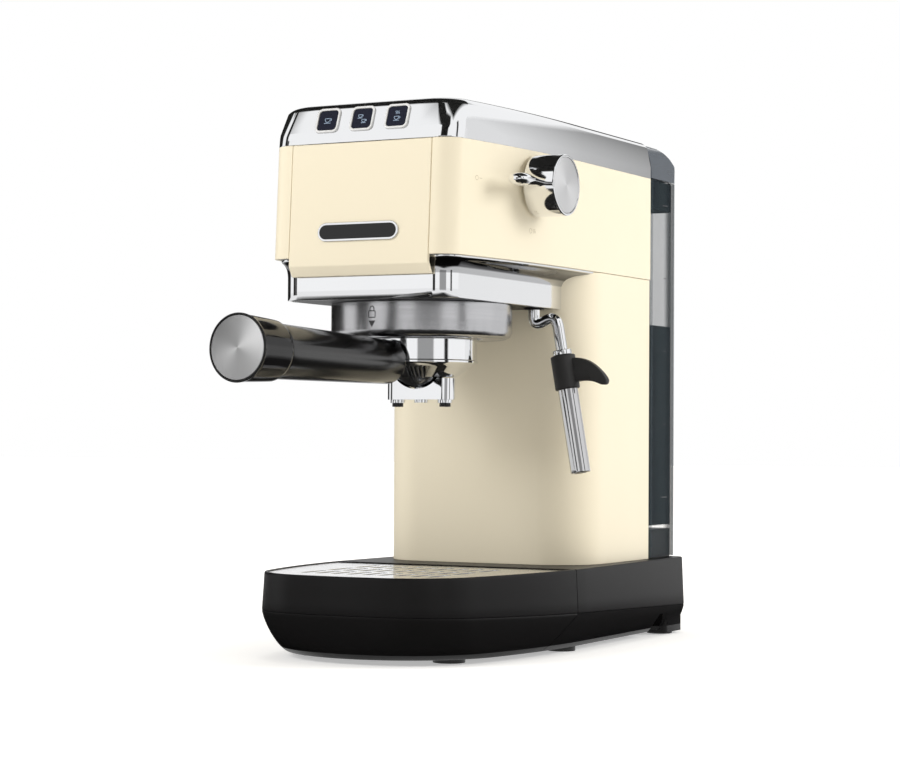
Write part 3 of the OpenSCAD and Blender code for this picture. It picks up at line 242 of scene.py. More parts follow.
def spun_disc(name, colour, centre, u, v, low, high, rough=0.24):
    """A turned disc. With (a, b) the place from the centre along u and v, the lines follow sqrt(a^2 + b^2),
    and the tone, low to high times colour, the cosine of twice the angle of (a, b): painted highlight, fans
    of light painted into the colour."""
    metal = Finish(name)
    offset = metal.node("ShaderNodeVectorMath", {"operation": "SUBTRACT"}, [metal.place(), tuple(centre)])
    a, b = (metal.node("ShaderNodeVectorMath", {"operation": "DOT_PRODUCT"}, [offset, tuple(w)], "Value")
            for w in (u, v))
    radius = (a * a + b * b) ** 0.5
    angle = b.apply("ARCTAN2", a)
    # Painted highlight: bright fans in the colour, where a spun disc would catch the light at two opposite
    # angles.
    painted_fan_highlight = (angle * 2.0 + 0.9).apply("COSINE") * 0.5 + 0.5
    spiral = metal.node("ShaderNodeCombineXYZ", inputs=[radius * 900, angle * 0.6, 0.0])
    fine = metal.noise(40, vector=spiral)
    tone = metal.mix((painted_fan_highlight ** 1.6) * 0.8 + fine * 0.2, shade(colour, low), shade(colour, high))
    metal.principled(Base_Color=tone, Metallic=1.0, Roughness=fine * 0.12 + rough,
                     Normal=metal.bump(fine, 2e-5, 0.6))
    return metal


# %% [markdown]
# Moulded black plastic has a fine grain that spreads the light, rubber is duller, and gloss black has only a
# slight waviness. Only colour, roughness and grain differ, so one function serves them all, and cast and
# turned metal too.

# %% Plastics, rubber and castings
def plastic(name, colour, rough, grain, depth, coat=0.0, shine=0.5, metal=0.0):
    """A finish with a grain: noise sets a bump of the given depth and moves the roughness a little."""
    made = Finish(name)
    fine = made.noise(grain, 3, 0.6)
    made.principled(Base_Color=made.mix(made.noise(35), shade(colour, 0.9), shade(colour, 1.1)),
                    Roughness=fine * 0.06 + rough, Metallic=metal, Specular_IOR_Level=shine, Coat_Weight=coat,
                    Coat_Roughness=0.08, Normal=made.bump(fine, depth))
    return made


satin_black = plastic("satin_black", (0.0085, 0.0082, 0.0088), 0.36, 2600, 5e-5, shine=0.21)
grip_black = plastic("grip_black", (0.006, 0.006, 0.0062), 0.14, 900, 6e-6, shine=0.8)
gloss_black = plastic("gloss_black", (0.006, 0.006, 0.0065), 0.05, 200, 6e-6, shine=0.4)
rubber_black = plastic("rubber_black", (0.024, 0.024, 0.025), 0.42, 1500, 6e-5)
rubber_red = plastic("rubber_red", (0.30, 0.075, 0.05), 0.6, 1500, 5e-5)
inner_grey = plastic("inner_grey", (0.42, 0.42, 0.42), 0.5, 1200, 5e-5)
silicone = plastic("silicone", (0.78, 0.78, 0.75), 0.35, 500, 3e-5)
board_green = plastic("board_green", (0.03, 0.16, 0.07), 0.35, 700, 4e-5)
key_navy = plastic("key_navy", (0.010, 0.012, 0.026), 0.25, 800, 1e-5, shine=0.2)
key_white = plastic("key_frame", (0.80, 0.81, 0.83), 0.12, 800, 1e-5, coat=0.6)
print_blue = plastic("print_blue", (0.35, 0.46, 0.62), 0.4, 900, 1e-5)
print_grey = plastic("print_grey", (0.62, 0.55, 0.40), 0.5, 900, 1e-5)
print_dark = plastic("print_dark", (0.05, 0.05, 0.055), 0.4, 900, 1e-5)
lid_dark = plastic("lid_smoked", (0.078, 0.094, 0.118), 0.1, 300, 1e-5, coat=0.2)
cast_grey = plastic("cast_aluminium", (0.55, 0.55, 0.56), 0.42, 1100, 0.00012, metal=1.0)
brass = plastic("turned_brass", (0.66, 0.48, 0.20), 0.25, 900, 3e-5, metal=1.0)

# %% [markdown]
# The tank is clear plastic with a grey tint. A part-see-through gloss suits its thin walls better than thick
# glass, and has less noise. Seen edge on, the front wall and the rear corners let less through. The water is
# darker, with painted light along its middle.

# %% Clear plastic and water
TANK_FRONT, TANK_MIDDLE, TANK_CORNER = 0.1145, 0.133, 0.2135
clear = Finish("smoked_clear")
x, y, _ = clear.axes()
corner = (((x * x) ** 0.5 + y - TANK_CORNER) * 300).clamped()
front = ((TANK_FRONT - y) * 700).clamped()
clear.principled(Base_Color=clear.mix(clear.noise(20), (0.045, 0.062, 0.075), (0.06, 0.078, 0.09)),
                 Roughness=0.06, Alpha=clear.noise(12) * 0.05 + 0.16 + corner * 0.62 + front * 0.35,
                 Specular_IOR_Level=0.06, Normal=clear.bump(clear.noise(80), 2e-5))
water_dark = Finish("tank_water")
# Painted light: the water's colour is lighter along the middle of the tank, front to back.
painted_light_middle = (1 - (water_dark.axes()[1] - TANK_MIDDLE) ** 2.0 * 9000).clamped()
water_dark.principled(Base_Color=water_dark.mix(painted_light_middle * (water_dark.noise(25, 3) * 0.6 + 0.5),
                                                (0.008, 0.011, 0.016), (0.022, 0.032, 0.037)),
                      Roughness=0.08, Specular_IOR_Level=0.0, Alpha=water_dark.noise(10) * 0.02 + 0.965)

# %% [markdown]
# ## Smooth shading on the CAD parts
# A CAD part arrives as loose triangles. Modifiers leave its mesh alone: Weld joins the triangles, Bevel
# gives edges the radius that catches light, and a node group marks only sharp angles as sharp. Weighted
# normals keep broad faces flat.

# %% Smooth shading by angle
SHARP_ANGLE = 32


def smooth_group():
    """A geometry node group: faces smooth, edges over the angle sharp."""
    group = bpy.data.node_groups.new("smooth_by_angle", "GeometryNodeTree")
    for way in ("INPUT", "OUTPUT"):
        group.interface.new_socket("Geometry", in_out=way, socket_type="NodeSocketGeometry")
    nodes = Nodes(group)
    angle = nodes.node("GeometryNodeInputMeshEdgeAngle")
    under = nodes.node("FunctionNodeCompare", {"operation": "LESS_EQUAL"}, [angle, math.radians(SHARP_ANGLE)])
    faces = nodes.node("GeometryNodeSetShadeSmooth", inputs=[nodes.node("NodeGroupInput")])
    edges = nodes.node("GeometryNodeSetShadeSmooth", {"domain": "EDGE"}, {0: faces, "Shade Smooth": under})
    nodes.put(group.nodes.new("NodeGroupOutput").inputs[0], edges)
    return group


SMOOTH = smooth_group()


def smooth(obj, weld=0.0, bevel=0.0, limit=SHARP_ANGLE):
    """Weld, Bevel, smooth-by-angle and weighted normals, in that order; sizes in millimetres."""
    if weld:
        obj.modifiers.new("weld", "WELD").merge_threshold = weld / 1000
    if bevel:
        edge = obj.modifiers.new("bevel", "BEVEL")
        edge.width, edge.segments, edge.limit_method = bevel / 1000, 3, "ANGLE"
        edge.angle_limit = math.radians(limit)
    obj.modifiers.new("smooth", "NODES").node_group = SMOOTH
    if bevel:
        obj.modifiers.new("even", "WEIGHTED_NORMAL").keep_sharp = True


def paint(obj, finish):
    """The finish on every material slot."""
    if not obj.material_slots:
        obj.data.materials.append(finish.material)
    for slot in obj.material_slots:
        slot.material = finish.material


# %% [markdown]
# Each CAD part gets its finish. Small turned and moulded pieces also get the bevel that their real edges
# have.

# %% Finishes of the CAD parts
FINISHES = {
    cream: "column_shell head_shell front_panel",
    chrome: "chrome_cap chrome_collar steam_knob wand_tube wand_nut portafilter_body coffee_spout "
            "frother_sleeve",
    ring_steel: "group_ring", plate_steel: "knob_disc handle_disc top_plate",
    polished: "cup_grid shower_screen screen_screw group_bolts valve_spindle steam_pipe steam_nozzle "
              "filter_basket basket_spring handle_bolt housing_screws",
    satin_black: "base_housing base_pan tray_bowl tray_frame group_surround back_plate cord_gland "
                 "wand_socket wand_grip",
    grip_black: "handle_grip", gloss_black: "handle_cap spout_tips",
    key_navy: "one_cup_button two_cup_button steam_button", key_white: "button_frames",
    rubber_black: "rear_feet tray_feet pump_mount tank_valve tank_coupling", rubber_red: "group_gasket",
    clear: "water_tank", lid_dark: "tank_lid", inner_grey: "head_floor pump", cast_grey: "boiler thermostats",
    brass: "steam_valve", board_green: "control_board button_board", silicone: "suction_hose pressure_hose"}
BEVELS = {
    "housing_screws": 0.1, "frother_sleeve": 0.25, "cup_grid": 0.25, "top_plate": 0.3, "spout_tips": 0.3,
    "button_frames": 0.35, "one_cup_button": 0.4, "two_cup_button": 0.4, "steam_button": 0.4,
    "cord_gland": 0.4, "group_ring": 0.5, "wand_nut": 0.5, "rear_feet": 0.5, "tray_feet": 0.5,
    "coffee_spout": 0.7}
for finish, names in FINISHES.items():
    for name in names.split():
        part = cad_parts[name]
        smooth(part, weld=0.002, bevel=BEVELS.get(name, 0))
        paint(part, finish)
print("painted", sum(len(names.split()) for names in FINISHES.values()))

# %% [markdown]
# ## Plan outlines
# The base, the column, the head, its cap and the collar share one kind of plan: a bowed front, a corner, a
# bowed side and a rear corner, every arc tangent to the next. Sums keep rings of such plans in step, where
# drawn curves would drift.

# %% Outlines
REAR = 110
BASE = (-155, 180, 45, 80, 418, -8, 75, 155, 8)
COLUMN = (8.5, 4000, 30, 69, 4000, 42.5, 69, REAR, 0.4)
HEAD = (-130, 4000, 12, 69, 800, 10, 69, REAR, 0.4)
COLLAR = (-127, 4000, 12, 54.5, 4000, -60, 54.5, REAR, 0.4)
COLLAR_TOP = (-129, 4000, 12, 67.4, 800, 10, 67.4, REAR, 0.4)
TANK = (110.6, 4000, 1, 69, 4000, 136.6, 69, 154.6, 8)


def arc(centre, radius, start, end, count):
    """Points centre + radius * (cos a, sin a) for a from start to end."""
    a = np.linspace(start, end, count + 1)
    return np.array(centre) + radius * np.stack([np.cos(a), np.sin(a)], -1)


def meet(c1, r1, c2, r2):
    """Where two circles cross: (d^2 + r1^2 - r2^2) / 2d along the line of centres, then square to it."""
    d = np.linalg.norm(c2 - c1)
    a = (d * d + r1 * r1 - r2 * r2) / (2 * d)
    h = math.sqrt(max(0.0, r1 * r1 - a * a))
    u = (c2 - c1) / d
    n = np.array([u[1], -u[0]])
    p, q = c1 + a * u + h * n, c1 + a * u - h * n
    return p if p[1] < q[1] else q


def half_plan(plan, front=0.0, side=0.0, rear=0.0, corner=0.0, x_from=0.0, y_from=None, y_to=None,
              front_x=None):
    """Half a plan, each circle less its inset. It starts at x_from, or with points at front_x, on the front
    or at y_from on the side, and ends at the rear centre or at y_to on the side. The corner's centre is where
    the front's and the side's circles, less the corner's radius, cross."""
    front_y, front_r, corner_r, half, side_r, widest_y, rear_half, rear_y, rear_r = plan
    fc, fr = np.array([0.0, front_y + front_r]), front_r - front
    sc, sr = np.array([half - side_r, widest_y]), side_r - side
    cr = max(corner_r + corner, 0.6)
    cc = meet(fc, fr - cr, sc, sr - cr)
    a1, a2 = (math.atan2(cc[1] - c[1], cc[0] - c[0]) for c in (fc, sc))
    begin = a2 if y_from is None else math.asin((y_from - widest_y) / sr)
    end = 0.0 if y_to is None else math.asin((y_to - widest_y) / sr)
    parts = [arc(sc, sr, begin, end, 24)]
    if y_from is None:
        if front_x is None:
            bow = arc(fc, fr, -math.acos(x_from / fr), a1, 12)
        else:
            xs = np.append(np.array(front_x, float), fc[0] + fr * math.cos(a1))
            bow = np.stack([xs, fc[1] - np.sqrt(fr * fr - xs * xs)], -1)
        parts = [bow, arc(cc, cr, a1, a2, 20)[1:], parts[0][1:]]
    if y_to is None:
        rr = max(rear_r - rear, 0.4)
        parts.append(arc((rear_half - side - rr, rear_y - rear - rr), rr, 0, math.pi / 2, 8))
        parts.append([[0, rear_y - rear]])
    return np.concatenate(parts)


def evenly(plan, d, **more):
    """Half a plan, moved inwards by d all round; the corners shrink by the same d."""
    return half_plan(plan, d, d, d, -d, **more)


def mirrored(half):
    """The other half, run backwards, without the points on the middle line."""
    other = half[::-1] * [-1, 1]
    return other[abs(other[:, 0]) > 1e-6]


def whole(half):
    """A half plan and its mirror image: a closed loop, or an open line round the back."""
    return np.concatenate([half, mirrored(half)])


def across_front(half):
    """The open line from the left rear round the front to the right rear."""
    return np.concatenate([mirrored(half), half])


def wall(outer, inner):
    """The plan of a wall between two open lines."""
    return np.concatenate([outer, inner[::-1]])


def at(plan, z):
    """A plan lifted to height z, a number or one height per point."""
    return np.column_stack([plan, np.broadcast_to(z, len(plan))])


print("points round the base", len(whole(half_plan(BASE))))

# %% [markdown]
# Profiles need soft lines too: a curve through points for free shapes such as the lever's, and a bend for
# moulded edges, because it leaves each straight run in its own direction.

# %% Curves
def outline(*parts):
    """One line of points from single points and curves, end to end."""
    return np.concatenate([np.atleast_2d(np.asarray(part, float)) for part in parts])


def smooth_line(points, count):
    """A Catmull-Rom curve through points, with count steps between each two: cubic in each span, its slope
    at a point half the step between that point's neighbours."""
    p = np.asarray(points, float)
    p = np.concatenate([[2 * p[0] - p[1]], p, [2 * p[-1] - p[-2]]])
    t = (np.arange(count) / count)[:, None, None]
    a, b, c, d = p[:-3], p[1:-2], p[2:-1], p[3:]
    line = b + 0.5 * t * ((c - a) + t * ((2 * a - 5 * b + 4 * c - d) + t * (3 * (b - c) + d - a)))
    return np.concatenate([line.transpose(1, 0, 2).reshape(-1, p.shape[1]), p[-2:-1]])


def bend(p0, p1, p2, count):
    """A quadratic curve from p0 towards p1 and on to p2: (1-t)^2 p0 + 2t(1-t) p1 + t^2 p2."""
    t = np.linspace(0, 1, count + 1)[:, None]
    p0, p1, p2 = (np.array(p, float) for p in (p0, p1, p2))
    return (1 - t) ** 2 * p0 + 2 * t * (1 - t) * p1 + t * t * p2


print("points in a bend of 4 steps", len(bend((0, 0), (1, 0), (1, 1), 4)))

# %% [markdown]
# ## From rings to a mesh
# `solids` stitches each ring of points to the next with four-sided faces. The first ring joins the last for
# a hollow wall, or one face closes each end. Doubled points are merged before any modifier works on the
# mesh.

# %% Mesh makers
def add_mesh(name, points, faces, body, finish, slot, replaces=(), bevel=0.0, limit=SHARP_ANGLE):
    """Points in millimetres and faces become a piece that rides on a body and stands for CAD nodes."""
    mesh = bpy.data.meshes.new(name)
    mesh.from_pydata((np.asarray(points, float) / 1000).tolist(), [], faces)
    work = bmesh.new()
    work.from_mesh(mesh)
    bmesh.ops.remove_doubles(work, verts=work.verts, dist=2e-6)
    bmesh.ops.dissolve_degenerate(work, edges=work.edges, dist=1e-7)
    bmesh.ops.recalc_face_normals(work, faces=work.faces)
    work.to_mesh(mesh)
    work.free()
    obj = bpy.data.objects.new(name, mesh)
    bpy.context.scene.collection.objects.link(obj)
    smooth(obj, bevel=bevel, limit=limit)
    paint(obj, finish)
    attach(obj, body)
    if replaces:
        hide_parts(*replaces)
    print(name, len(mesh.polygons), "faces")


def ring_faces(m, n, loop=False, first=0, ends=True, around_ring=True):
    """Quads between m rings of n points each; ends closes the first and the last ring."""
    i, j = np.meshgrid(np.arange(m if loop else m - 1), np.arange(n if around_ring else n - 1), indexing="ij")
    over, on = (i + 1) % m * n, (j + 1) % n
    faces = (first + np.stack([i * n + j, i * n + on, over + on, over + j], -1)).reshape(-1, 4).tolist()
    if ends and not loop:
        faces += [(first + np.arange(n)).tolist(), (first + np.arange((m - 1) * n, m * n)).tolist()]
    return faces


def solids(name, stacks, body, finish, slot, replaces=(), loop=False, **more):
    """Several solids in one mesh; each stack is a list of rings."""
    points, faces = [], []
    for rings in stacks:
        rings = np.asarray(rings, float)
        faces += ring_faces(*rings.shape[:2], loop, first=sum(len(p) for p in points))
        points.append(rings.reshape(-1, 3))
    add_mesh(name, np.concatenate(points), faces, body, finish, slot, replaces, **more)


def shell(name, rings, *about, **more):
    """One solid through rings of points."""
    solids(name, [rings], *about, **more)


def lathe(profile, origin, axis, up, count=128):
    """Rings of a turned shape: for each (s, r) of profile, origin + s*axis + r*(cos a*up + sin a*side)."""
    axis, up = (np.array(v, float) / np.linalg.norm(v) for v in (axis, up))
    side = np.cross(axis, up)
    a = np.arange(count) * 2 * math.pi / count
    spoke = np.cos(a)[:, None] * up + np.sin(a)[:, None] * side
    p = np.asarray(profile, float)
    return np.array(origin) + p[:, :1, None] * axis + np.maximum(p[:, 1:, None], 0.002) * spoke


print("faces of a closed tube of 3 rings", len(ring_faces(3, 8)))

# %% [markdown]
# ## The base and its drip tray
# The base is a band that leans out towards a parting line, over a skirt that tucks in to the feet. The drip
# tray is its front end, cut off by a seam. A bevel could round the edges; extra rings keep their radius even
# all along the curved seam.

# %% Base sizes
FRONT_SPLIT, REAR_SPLIT, BASE_TOP, FOOT = 27.0, 17.5, 48.0, 3.0
BASE_FRONT, BASE_LONG = 155, 310
SEAM, GAP, SEAM_FORWARD = -20.0, 0.3, 28
FOOT_IN, FOOT_CORNER, SKIRT_OUT = (12, 8, 6), 18, 1.2
# The band's face as (inset, share of the way up), and its top edge as (inset, height, way back from the
# seam)
FACE = ((-0.7, 0.0), (-1.1, 0.012), (-1.2, 0.04), (-0.9, 0.27), (-0.45, 0.6), (-0.05, 0.93))
TOP_EDGE = ((0.05, 47.35, 0.0), (0.2, 47.7, 0.2), (0.5, 47.95, 0.5), (0.8, 48, 0.8))
FRAME_INSIDE = ((1.8, 48, 1.8), (2.05, 47.9, 2.0), (2.2, 47.6, 2.2), (2.2, 45.4, 2.2), (6.2, 45.4, 6.2),
                (6.2, 42.8, 6.2), (2.5, 42.8, 2.5))


def split(y):
    """The parting line's height: it falls evenly from front to rear."""
    return FRONT_SPLIT + (REAR_SPLIT - FRONT_SPLIT) * (y + BASE_FRONT) / BASE_LONG


def band(inset, share=None, z=None, **cut):
    """A ring of the band at height z, or at the share of the way from the parting line to the top."""
    plan = whole(evenly(BASE, inset, **cut))
    return at(plan, z if share is None else (1 - share) * split(plan[:, 1]) + share * BASE_TOP)


def tray_band(inset, share=None, z=None, back=0.0):
    """A ring of the band in front of the seam, back further from it."""
    return band(inset, share, z, y_to=SEAM - GAP - back)


def rear_band(inset, share=None, z=None, back=0.0):
    """A ring of the band behind the seam."""
    return band(inset, share, z, y_from=SEAM + GAP + back)


def up_and_over(ring):
    """The rings of the face and of the top edge, each made by ring."""
    return [ring(*place) for place in FACE] + [ring(inset, z=z, back=back) for inset, z, back in TOP_EDGE]


def skirt(inset, a, gap):
    """A ring of the skirt at angle a: height falls by sin(a)^1.5, the plan blends in by 1 - cos(a)^1.5."""
    fall, blend = math.sin(a) ** 1.5, 1 - abs(math.cos(a)) ** 1.5
    edge, low, seam_z = inset - SKIRT_OUT, FOOT + inset, split(SEAM)
    y = SEAM - gap - SEAM_FORWARD / (seam_z - FOOT) * (seam_z - low) * fall
    top = evenly(BASE, edge, y_to=y)
    foot = half_plan(BASE, *(edge + f for f in FOOT_IN), FOOT_CORNER - edge, y_to=y)
    plan = whole(top * (1 - blend) + foot * blend)
    return at(plan, split(plan[:, 1]) * (1 - fall) + low * fall)


# %% Drip tray
shell("tray_frame_shell",
      up_and_over(tray_band) + [tray_band(inset, z=z, back=back) for inset, z, back in FRAME_INSIDE]
      + [tray_band(2.5, 0.0, back=2.5)],
      "drip_tray", satin_black, "black_satin", ["tray_frame"], loop=True)
BOWL_WALL, BOWL_BACK = 2.5, 2.8
down = np.radians([4, 10, 18, 26, 34, 42, 50, 58, 66, 73, 79, 84, 88, 90])
inside = [skirt(BOWL_WALL, a, BOWL_BACK) for a in (*down[::-1], 0.0)]
lip = [skirt(0.6, 0.0, GAP + 0.6), skirt(0.1, 0.02, GAP)]
shell("tray_bowl_shell", inside + lip + [skirt(0, a, GAP) for a in down],
      "drip_tray", satin_black, "black_satin", ["tray_bowl"])


# %% Base housing
def tank_ring(inset, z):
    """The tank's plan, moved inwards, at height z."""
    return at(whole(evenly(TANK, inset)), z)


seat = [tank_ring(inset, z) for inset, z in ((2.5, 47), (2.5, 65.2), (2.7, 65.6), (3.1, 65.8))]
solids("base_housing_shell", [up_and_over(rear_band), seat],
       "machine", satin_black, "black_satin", ["base_housing"])

# %% [markdown]
# ## The painted shells
# The column, the head and the front panel are one colour but three pieces, and the head leans out a little
# towards its foot. Solidify could thicken one skin, but a wall drawn with both its faces lets a fine bevel
# turn its rim into a soft line of light.

# %% Column, head and panel
WALL = 2.5
COLUMN_END, PANEL_GAP_HALF, PANEL_HALF = 109.9, 44.3, 44
HEAD_TOP, HEAD_TALL, HEAD_LONG, LEAN = 285, 68, 240, 4
column = wall(*(across_front(evenly(COLUMN, d, y_to=COLUMN_END)) for d in (0, WALL)))
shell("column_skin", [at(column, z) for z in (48, 134, 221.5)],
      "machine", cream, "cream_shell", ["column_shell"], bevel=0.3, limit=50)


def lean(z):
    """How far the head is stretched at height z, as a share of the distance from its rear face."""
    return LEAN * (HEAD_TOP - z) / HEAD_TALL / HEAD_LONG


def leaning(plan, z):
    """The head's plan at height z, with y moved forward by lean(z) * (REAR - y)."""
    return at(np.column_stack([plan[:, 0], plan[:, 1] - lean(z) * (REAR - plan[:, 1])]), z)


head = wall(*(whole(evenly(HEAD, d, x_from=PANEL_GAP_HALF)) for d in (0, WALL)))
shell("head_skin", [leaning(head, z) for z in (221.8, 250, HEAD_TOP)],
      "machine", cream, "cream_shell", ["head_shell"], bevel=0.4, limit=50)
side_view = np.array([[-130, 284.9], [-134, 217], [-130.5, 211.4], [-128, 211.4], [-131.5, 217.8],
                      [-127.5, 284.9]])
shell("front_panel_skin", [np.column_stack([np.full(6, x), side_view]) for x in (-PANEL_HALF, PANEL_HALF)],
      "machine", cream, "cream_shell", ["front_panel"], bevel=0.55, limit=20)

# %% [markdown]
# ## The chrome cap
# Mirror chrome shows every flaw, so the cap has one smooth profile: a short lip, a face that slopes back,
# and a soft turn into the flat top. A Boolean would leave ragged faces at the keys' openings; leaving out
# one face of the grid and folding its rim inwards keeps the mirror clean.

# %% Cap rings
KEYS, KEY_HALF, KEY_DEEP, BOW_END = np.array([-23.5, -1.5, 20.5]), 6.4, 2.6, 33.0
SLOPE = math.radians(20)
CAP_BACK = 12.4
SIDE_ROLL, ROLL_FROM, ROLL_TALL = 9.3, 11, 12
slope_in = np.array([0, math.cos(SLOPE), -math.sin(SLOPE)])


def cap_ring(h, run, d=0.0):
    """A ring of the cap at height h: the head's plan, moved back by run at the front, with sides that roll
    in like an ellipse, 9.3 * (1 - sqrt(1 - ((h - 11) / 12)^2)). The front has a point at each edge of a
    key's opening; x = 0 would split the middle one, so it is left out."""
    roll = SIDE_ROLL * (1 - math.sqrt(max(0.0, 1 - (max(0.0, h - ROLL_FROM) / ROLL_TALL) ** 2)))
    xs = np.sort(np.concatenate([KEYS - KEY_HALF, KEYS + KEY_HALF]))
    sides = []
    for sign in (1, -1):
        front_x = np.concatenate([[0.0], np.sort(abs(xs[xs * sign > 0])), [BOW_END]])
        sides.append(half_plan(HEAD, run + d, roll + d, d, 0.5 * roll - d, front_x=front_x) * [sign, 1])
    return at(np.concatenate([sides[0][1:], sides[1][1:-1][::-1]]), HEAD_TOP + h)


foot = bend((0.0, 0.5), (0.0, 0.0), (0.6, 0.1), 3)
face = [[2.5, 0.4], [5.0, 0.85], [7.086, 1.61], [19.114, 5.99], [19.7, 6.2]]
turn = bend((19.7, 6.2), (23.0, 7.4), (23.0, CAP_BACK), 14)[1:]
rim = [cap_ring(23.0, CAP_BACK, 1.4), cap_ring(22.75, CAP_BACK, 1.75), cap_ring(21.5, CAP_BACK, 1.8)]
rings = np.array([cap_ring(0.0, 0.0, 2.0)] + [cap_ring(h, run) for h, run in outline(foot, face, turn)] + rim)
print("cap rings", rings.shape)

# %% Cap and its openings
count = rings.shape[1]
points, faces = rings.reshape(-1, 3), ring_faces(len(rings), count)
low_row = 1 + len(foot) + 2
on_front = rings[low_row, :, 1] < -100
for x in KEYS:
    at_edge = np.isin(rings[low_row, :, 0].round(2), (x + [-KEY_HALF, KEY_HALF]).round(2))
    a, b = np.flatnonzero(on_front & at_edge)
    if b > a + 1:
        a, b = b, a
    corners = [int(low_row * count + k) for k in (a, b, b + count, a + count)]
    faces.remove(corners)
    first = len(points)
    points = np.concatenate([points, points[corners] + KEY_DEEP * slope_in])
    faces += [[corners[k], corners[(k + 1) % 4], first + (k + 1) % 4, first + k] for k in range(4)]
    faces.append([first, first + 1, first + 2, first + 3])
add_mesh("chrome_cap_skin", points, faces, "machine", chrome, "chrome_plate", ["chrome_cap"])

# %% [markdown]
# ## The collar under the head
# A bright upright band whose top flares out to the head in a hollow curve, which would mirror the dark
# underside above it; here that dark reflection is painted into the chrome's colour. A bevel gives no hollow,
# so rings that blend from one plan to the other follow the pressing.

# %% Collar
COLLAR_END, COLLAR_WALL = 30, 2.0
FLARE_FROM, FLARE_TALL = 212, 8.7
flare = smooth_line([[0, 0], [0.26, 0.06], [0.52, 0.2], [0.74, 0.48], [0.88, 0.82], [1, 1]], 4)


def collar_ring(z, t=0, grow=0.0):
    """The wall at height z: its plan goes from the band's to the head's as t goes from 0 to 1."""
    lines = []
    for d in (grow, COLLAR_WALL):
        low, high = (evenly(plan, d, y_to=COLLAR_END) for plan in (COLLAR, COLLAR_TOP))
        lines.append(across_front(low * (1 - t) + high * t))
    return at(wall(*lines), z)


# The collar's chrome carries a painted dark reflection in its flare, from BAND_START to BAND_END in height.
shell("collar_skin",
      [collar_ring(198.7, grow=0.45), collar_ring(198.85, grow=0.15)]
      + [collar_ring(z) for z in (199.2, 205, 211.6)]
      + [collar_ring(FLARE_FROM + up * FLARE_TALL, t) for up, t in flare]
      + [collar_ring(221.5, 1), collar_ring(221.8, 1, 0.3)],
      "machine", painted_reflection_chrome, "chrome_plate", ["chrome_collar"])

# %% [markdown]
# ## The steam knob
# A turned cylinder with a spun disc let into its face, and a small lever. Bevelled cylinders could do, but a
# turned profile with true radii lets the mirror run unbroken from side to rim. The lever isn't turned: it is
# a row of ellipses that swell towards its end.

# %% Knob and its lever
KNOB = np.array([0, -50.7, 264.8])
LEVER_OUT, LEVER_STEPS = 77.0, 48
OUT, UP, BACK = (1, 0, 0), (0, 0, 1), (0, 1, 0)
profile = outline((68.4, 3.0), (68.4, 16.9), bend((68.4, 16.9), (68.4, 17.4), (68.9, 17.4), 4),
                  (70, 17.4), (86.2, 17.4), bend((86.2, 17.4), (87.3, 17.4), (87.3, 16.4), 8),
                  bend((87.3, 16.2), (87.3, 15.8), (86.9, 15.8), 3), (85.9, 15.8), (85.9, 3.0))
reach, wide, tall = smooth_line([[13, 4.6, 2.4], [22, 5.0, 2.3], [29, 5.6, 2.9], [36, 6.1, 3.7],
                                 [41, 5.7, 3.4], [44, 4.2, 2.4], [45, 2.0, 1.1]], 5).T[:, :, None]
a = np.arange(LEVER_STEPS) * 2 * math.pi / LEVER_STEPS
lever = np.stack([LEVER_OUT + wide * np.cos(a), KNOB[1] - reach + 0 * a, KNOB[2] + tall * np.sin(a)], -1)
solids("knob_skin", [lathe(profile, KNOB, OUT, UP, 144), lever],
       "knob", chrome, "chrome_plate", ["steam_knob"])

# %% Knob disc
knob_face = spun_disc("knob_face", (0.88, 0.88, 0.885), KNOB / 1000, BACK, UP, 0.9, 1.12, 0.42)
disc = outline((85.9, 0), (85.9, 15.7), (86.85, 15.7), bend((86.85, 15.7), (87.0, 15.7), (87.0, 15.5), 2),
               (87.0, 0))
shell("knob_disc_face", lathe(disc, KNOB, OUT, UP, 144), "knob", knob_face, "brushed_alu", ["knob_disc"])

# %% [markdown]
# ## The portafilter's handle
# A tapered grip, a chrome ring, a glossy cap with a waist, and a spun disc let into its end. They could be
# cylinders end to end, but profiles turned on one line, which leans a little to the left and up, keep every
# radius and the line true.

# %% Handle
HANDLE, HANDLE_TURN, HANDLE_RISE = np.array([0, -60, 164.2]), math.radians(3.5), math.radians(1.35)
flat = math.cos(HANDLE_RISE)
axis = np.array([-math.sin(HANDLE_TURN) * flat, -math.cos(HANDLE_TURN) * flat, math.sin(HANDLE_RISE)])
across_handle = np.array([math.cos(HANDLE_TURN), -math.sin(HANDLE_TURN), 0])
upward = np.cross(across_handle, axis)


def handle_piece(name, profile, finish, slot, nodes=()):
    """A profile of (way along the handle, radius) turned round the handle's line."""
    shell(name, lathe(profile, HANDLE, axis, upward, 144), "portafilter", finish, slot, nodes)


handle_piece("grip_skin", outline(
    (33, 4), (32.8, 9.4), bend((32.8, 9.4), (33.4, 11.6), (36.8, 12.4), 8),
    smooth_line([[60, 12.95], [90, 13.6], [120, 14.25], [145.6, 14.75]], 6),
    bend((145.6, 14.75), (146.6, 14.75), (146.8, 14.1), 5), (147.2, 13.9), (147.2, 4)),
    grip_black, "black_satin", ["handle_grip"])
handle_piece("handle_ring", outline(
    (146.8, 5), bend((146.8, 14.3), (146.9, 14.75), (147.2, 14.9), 3),
    bend((147.4, 14.95), (147.7, 14.95), (147.75, 14.5), 3), (147.75, 5)), chrome, "chrome_plate")

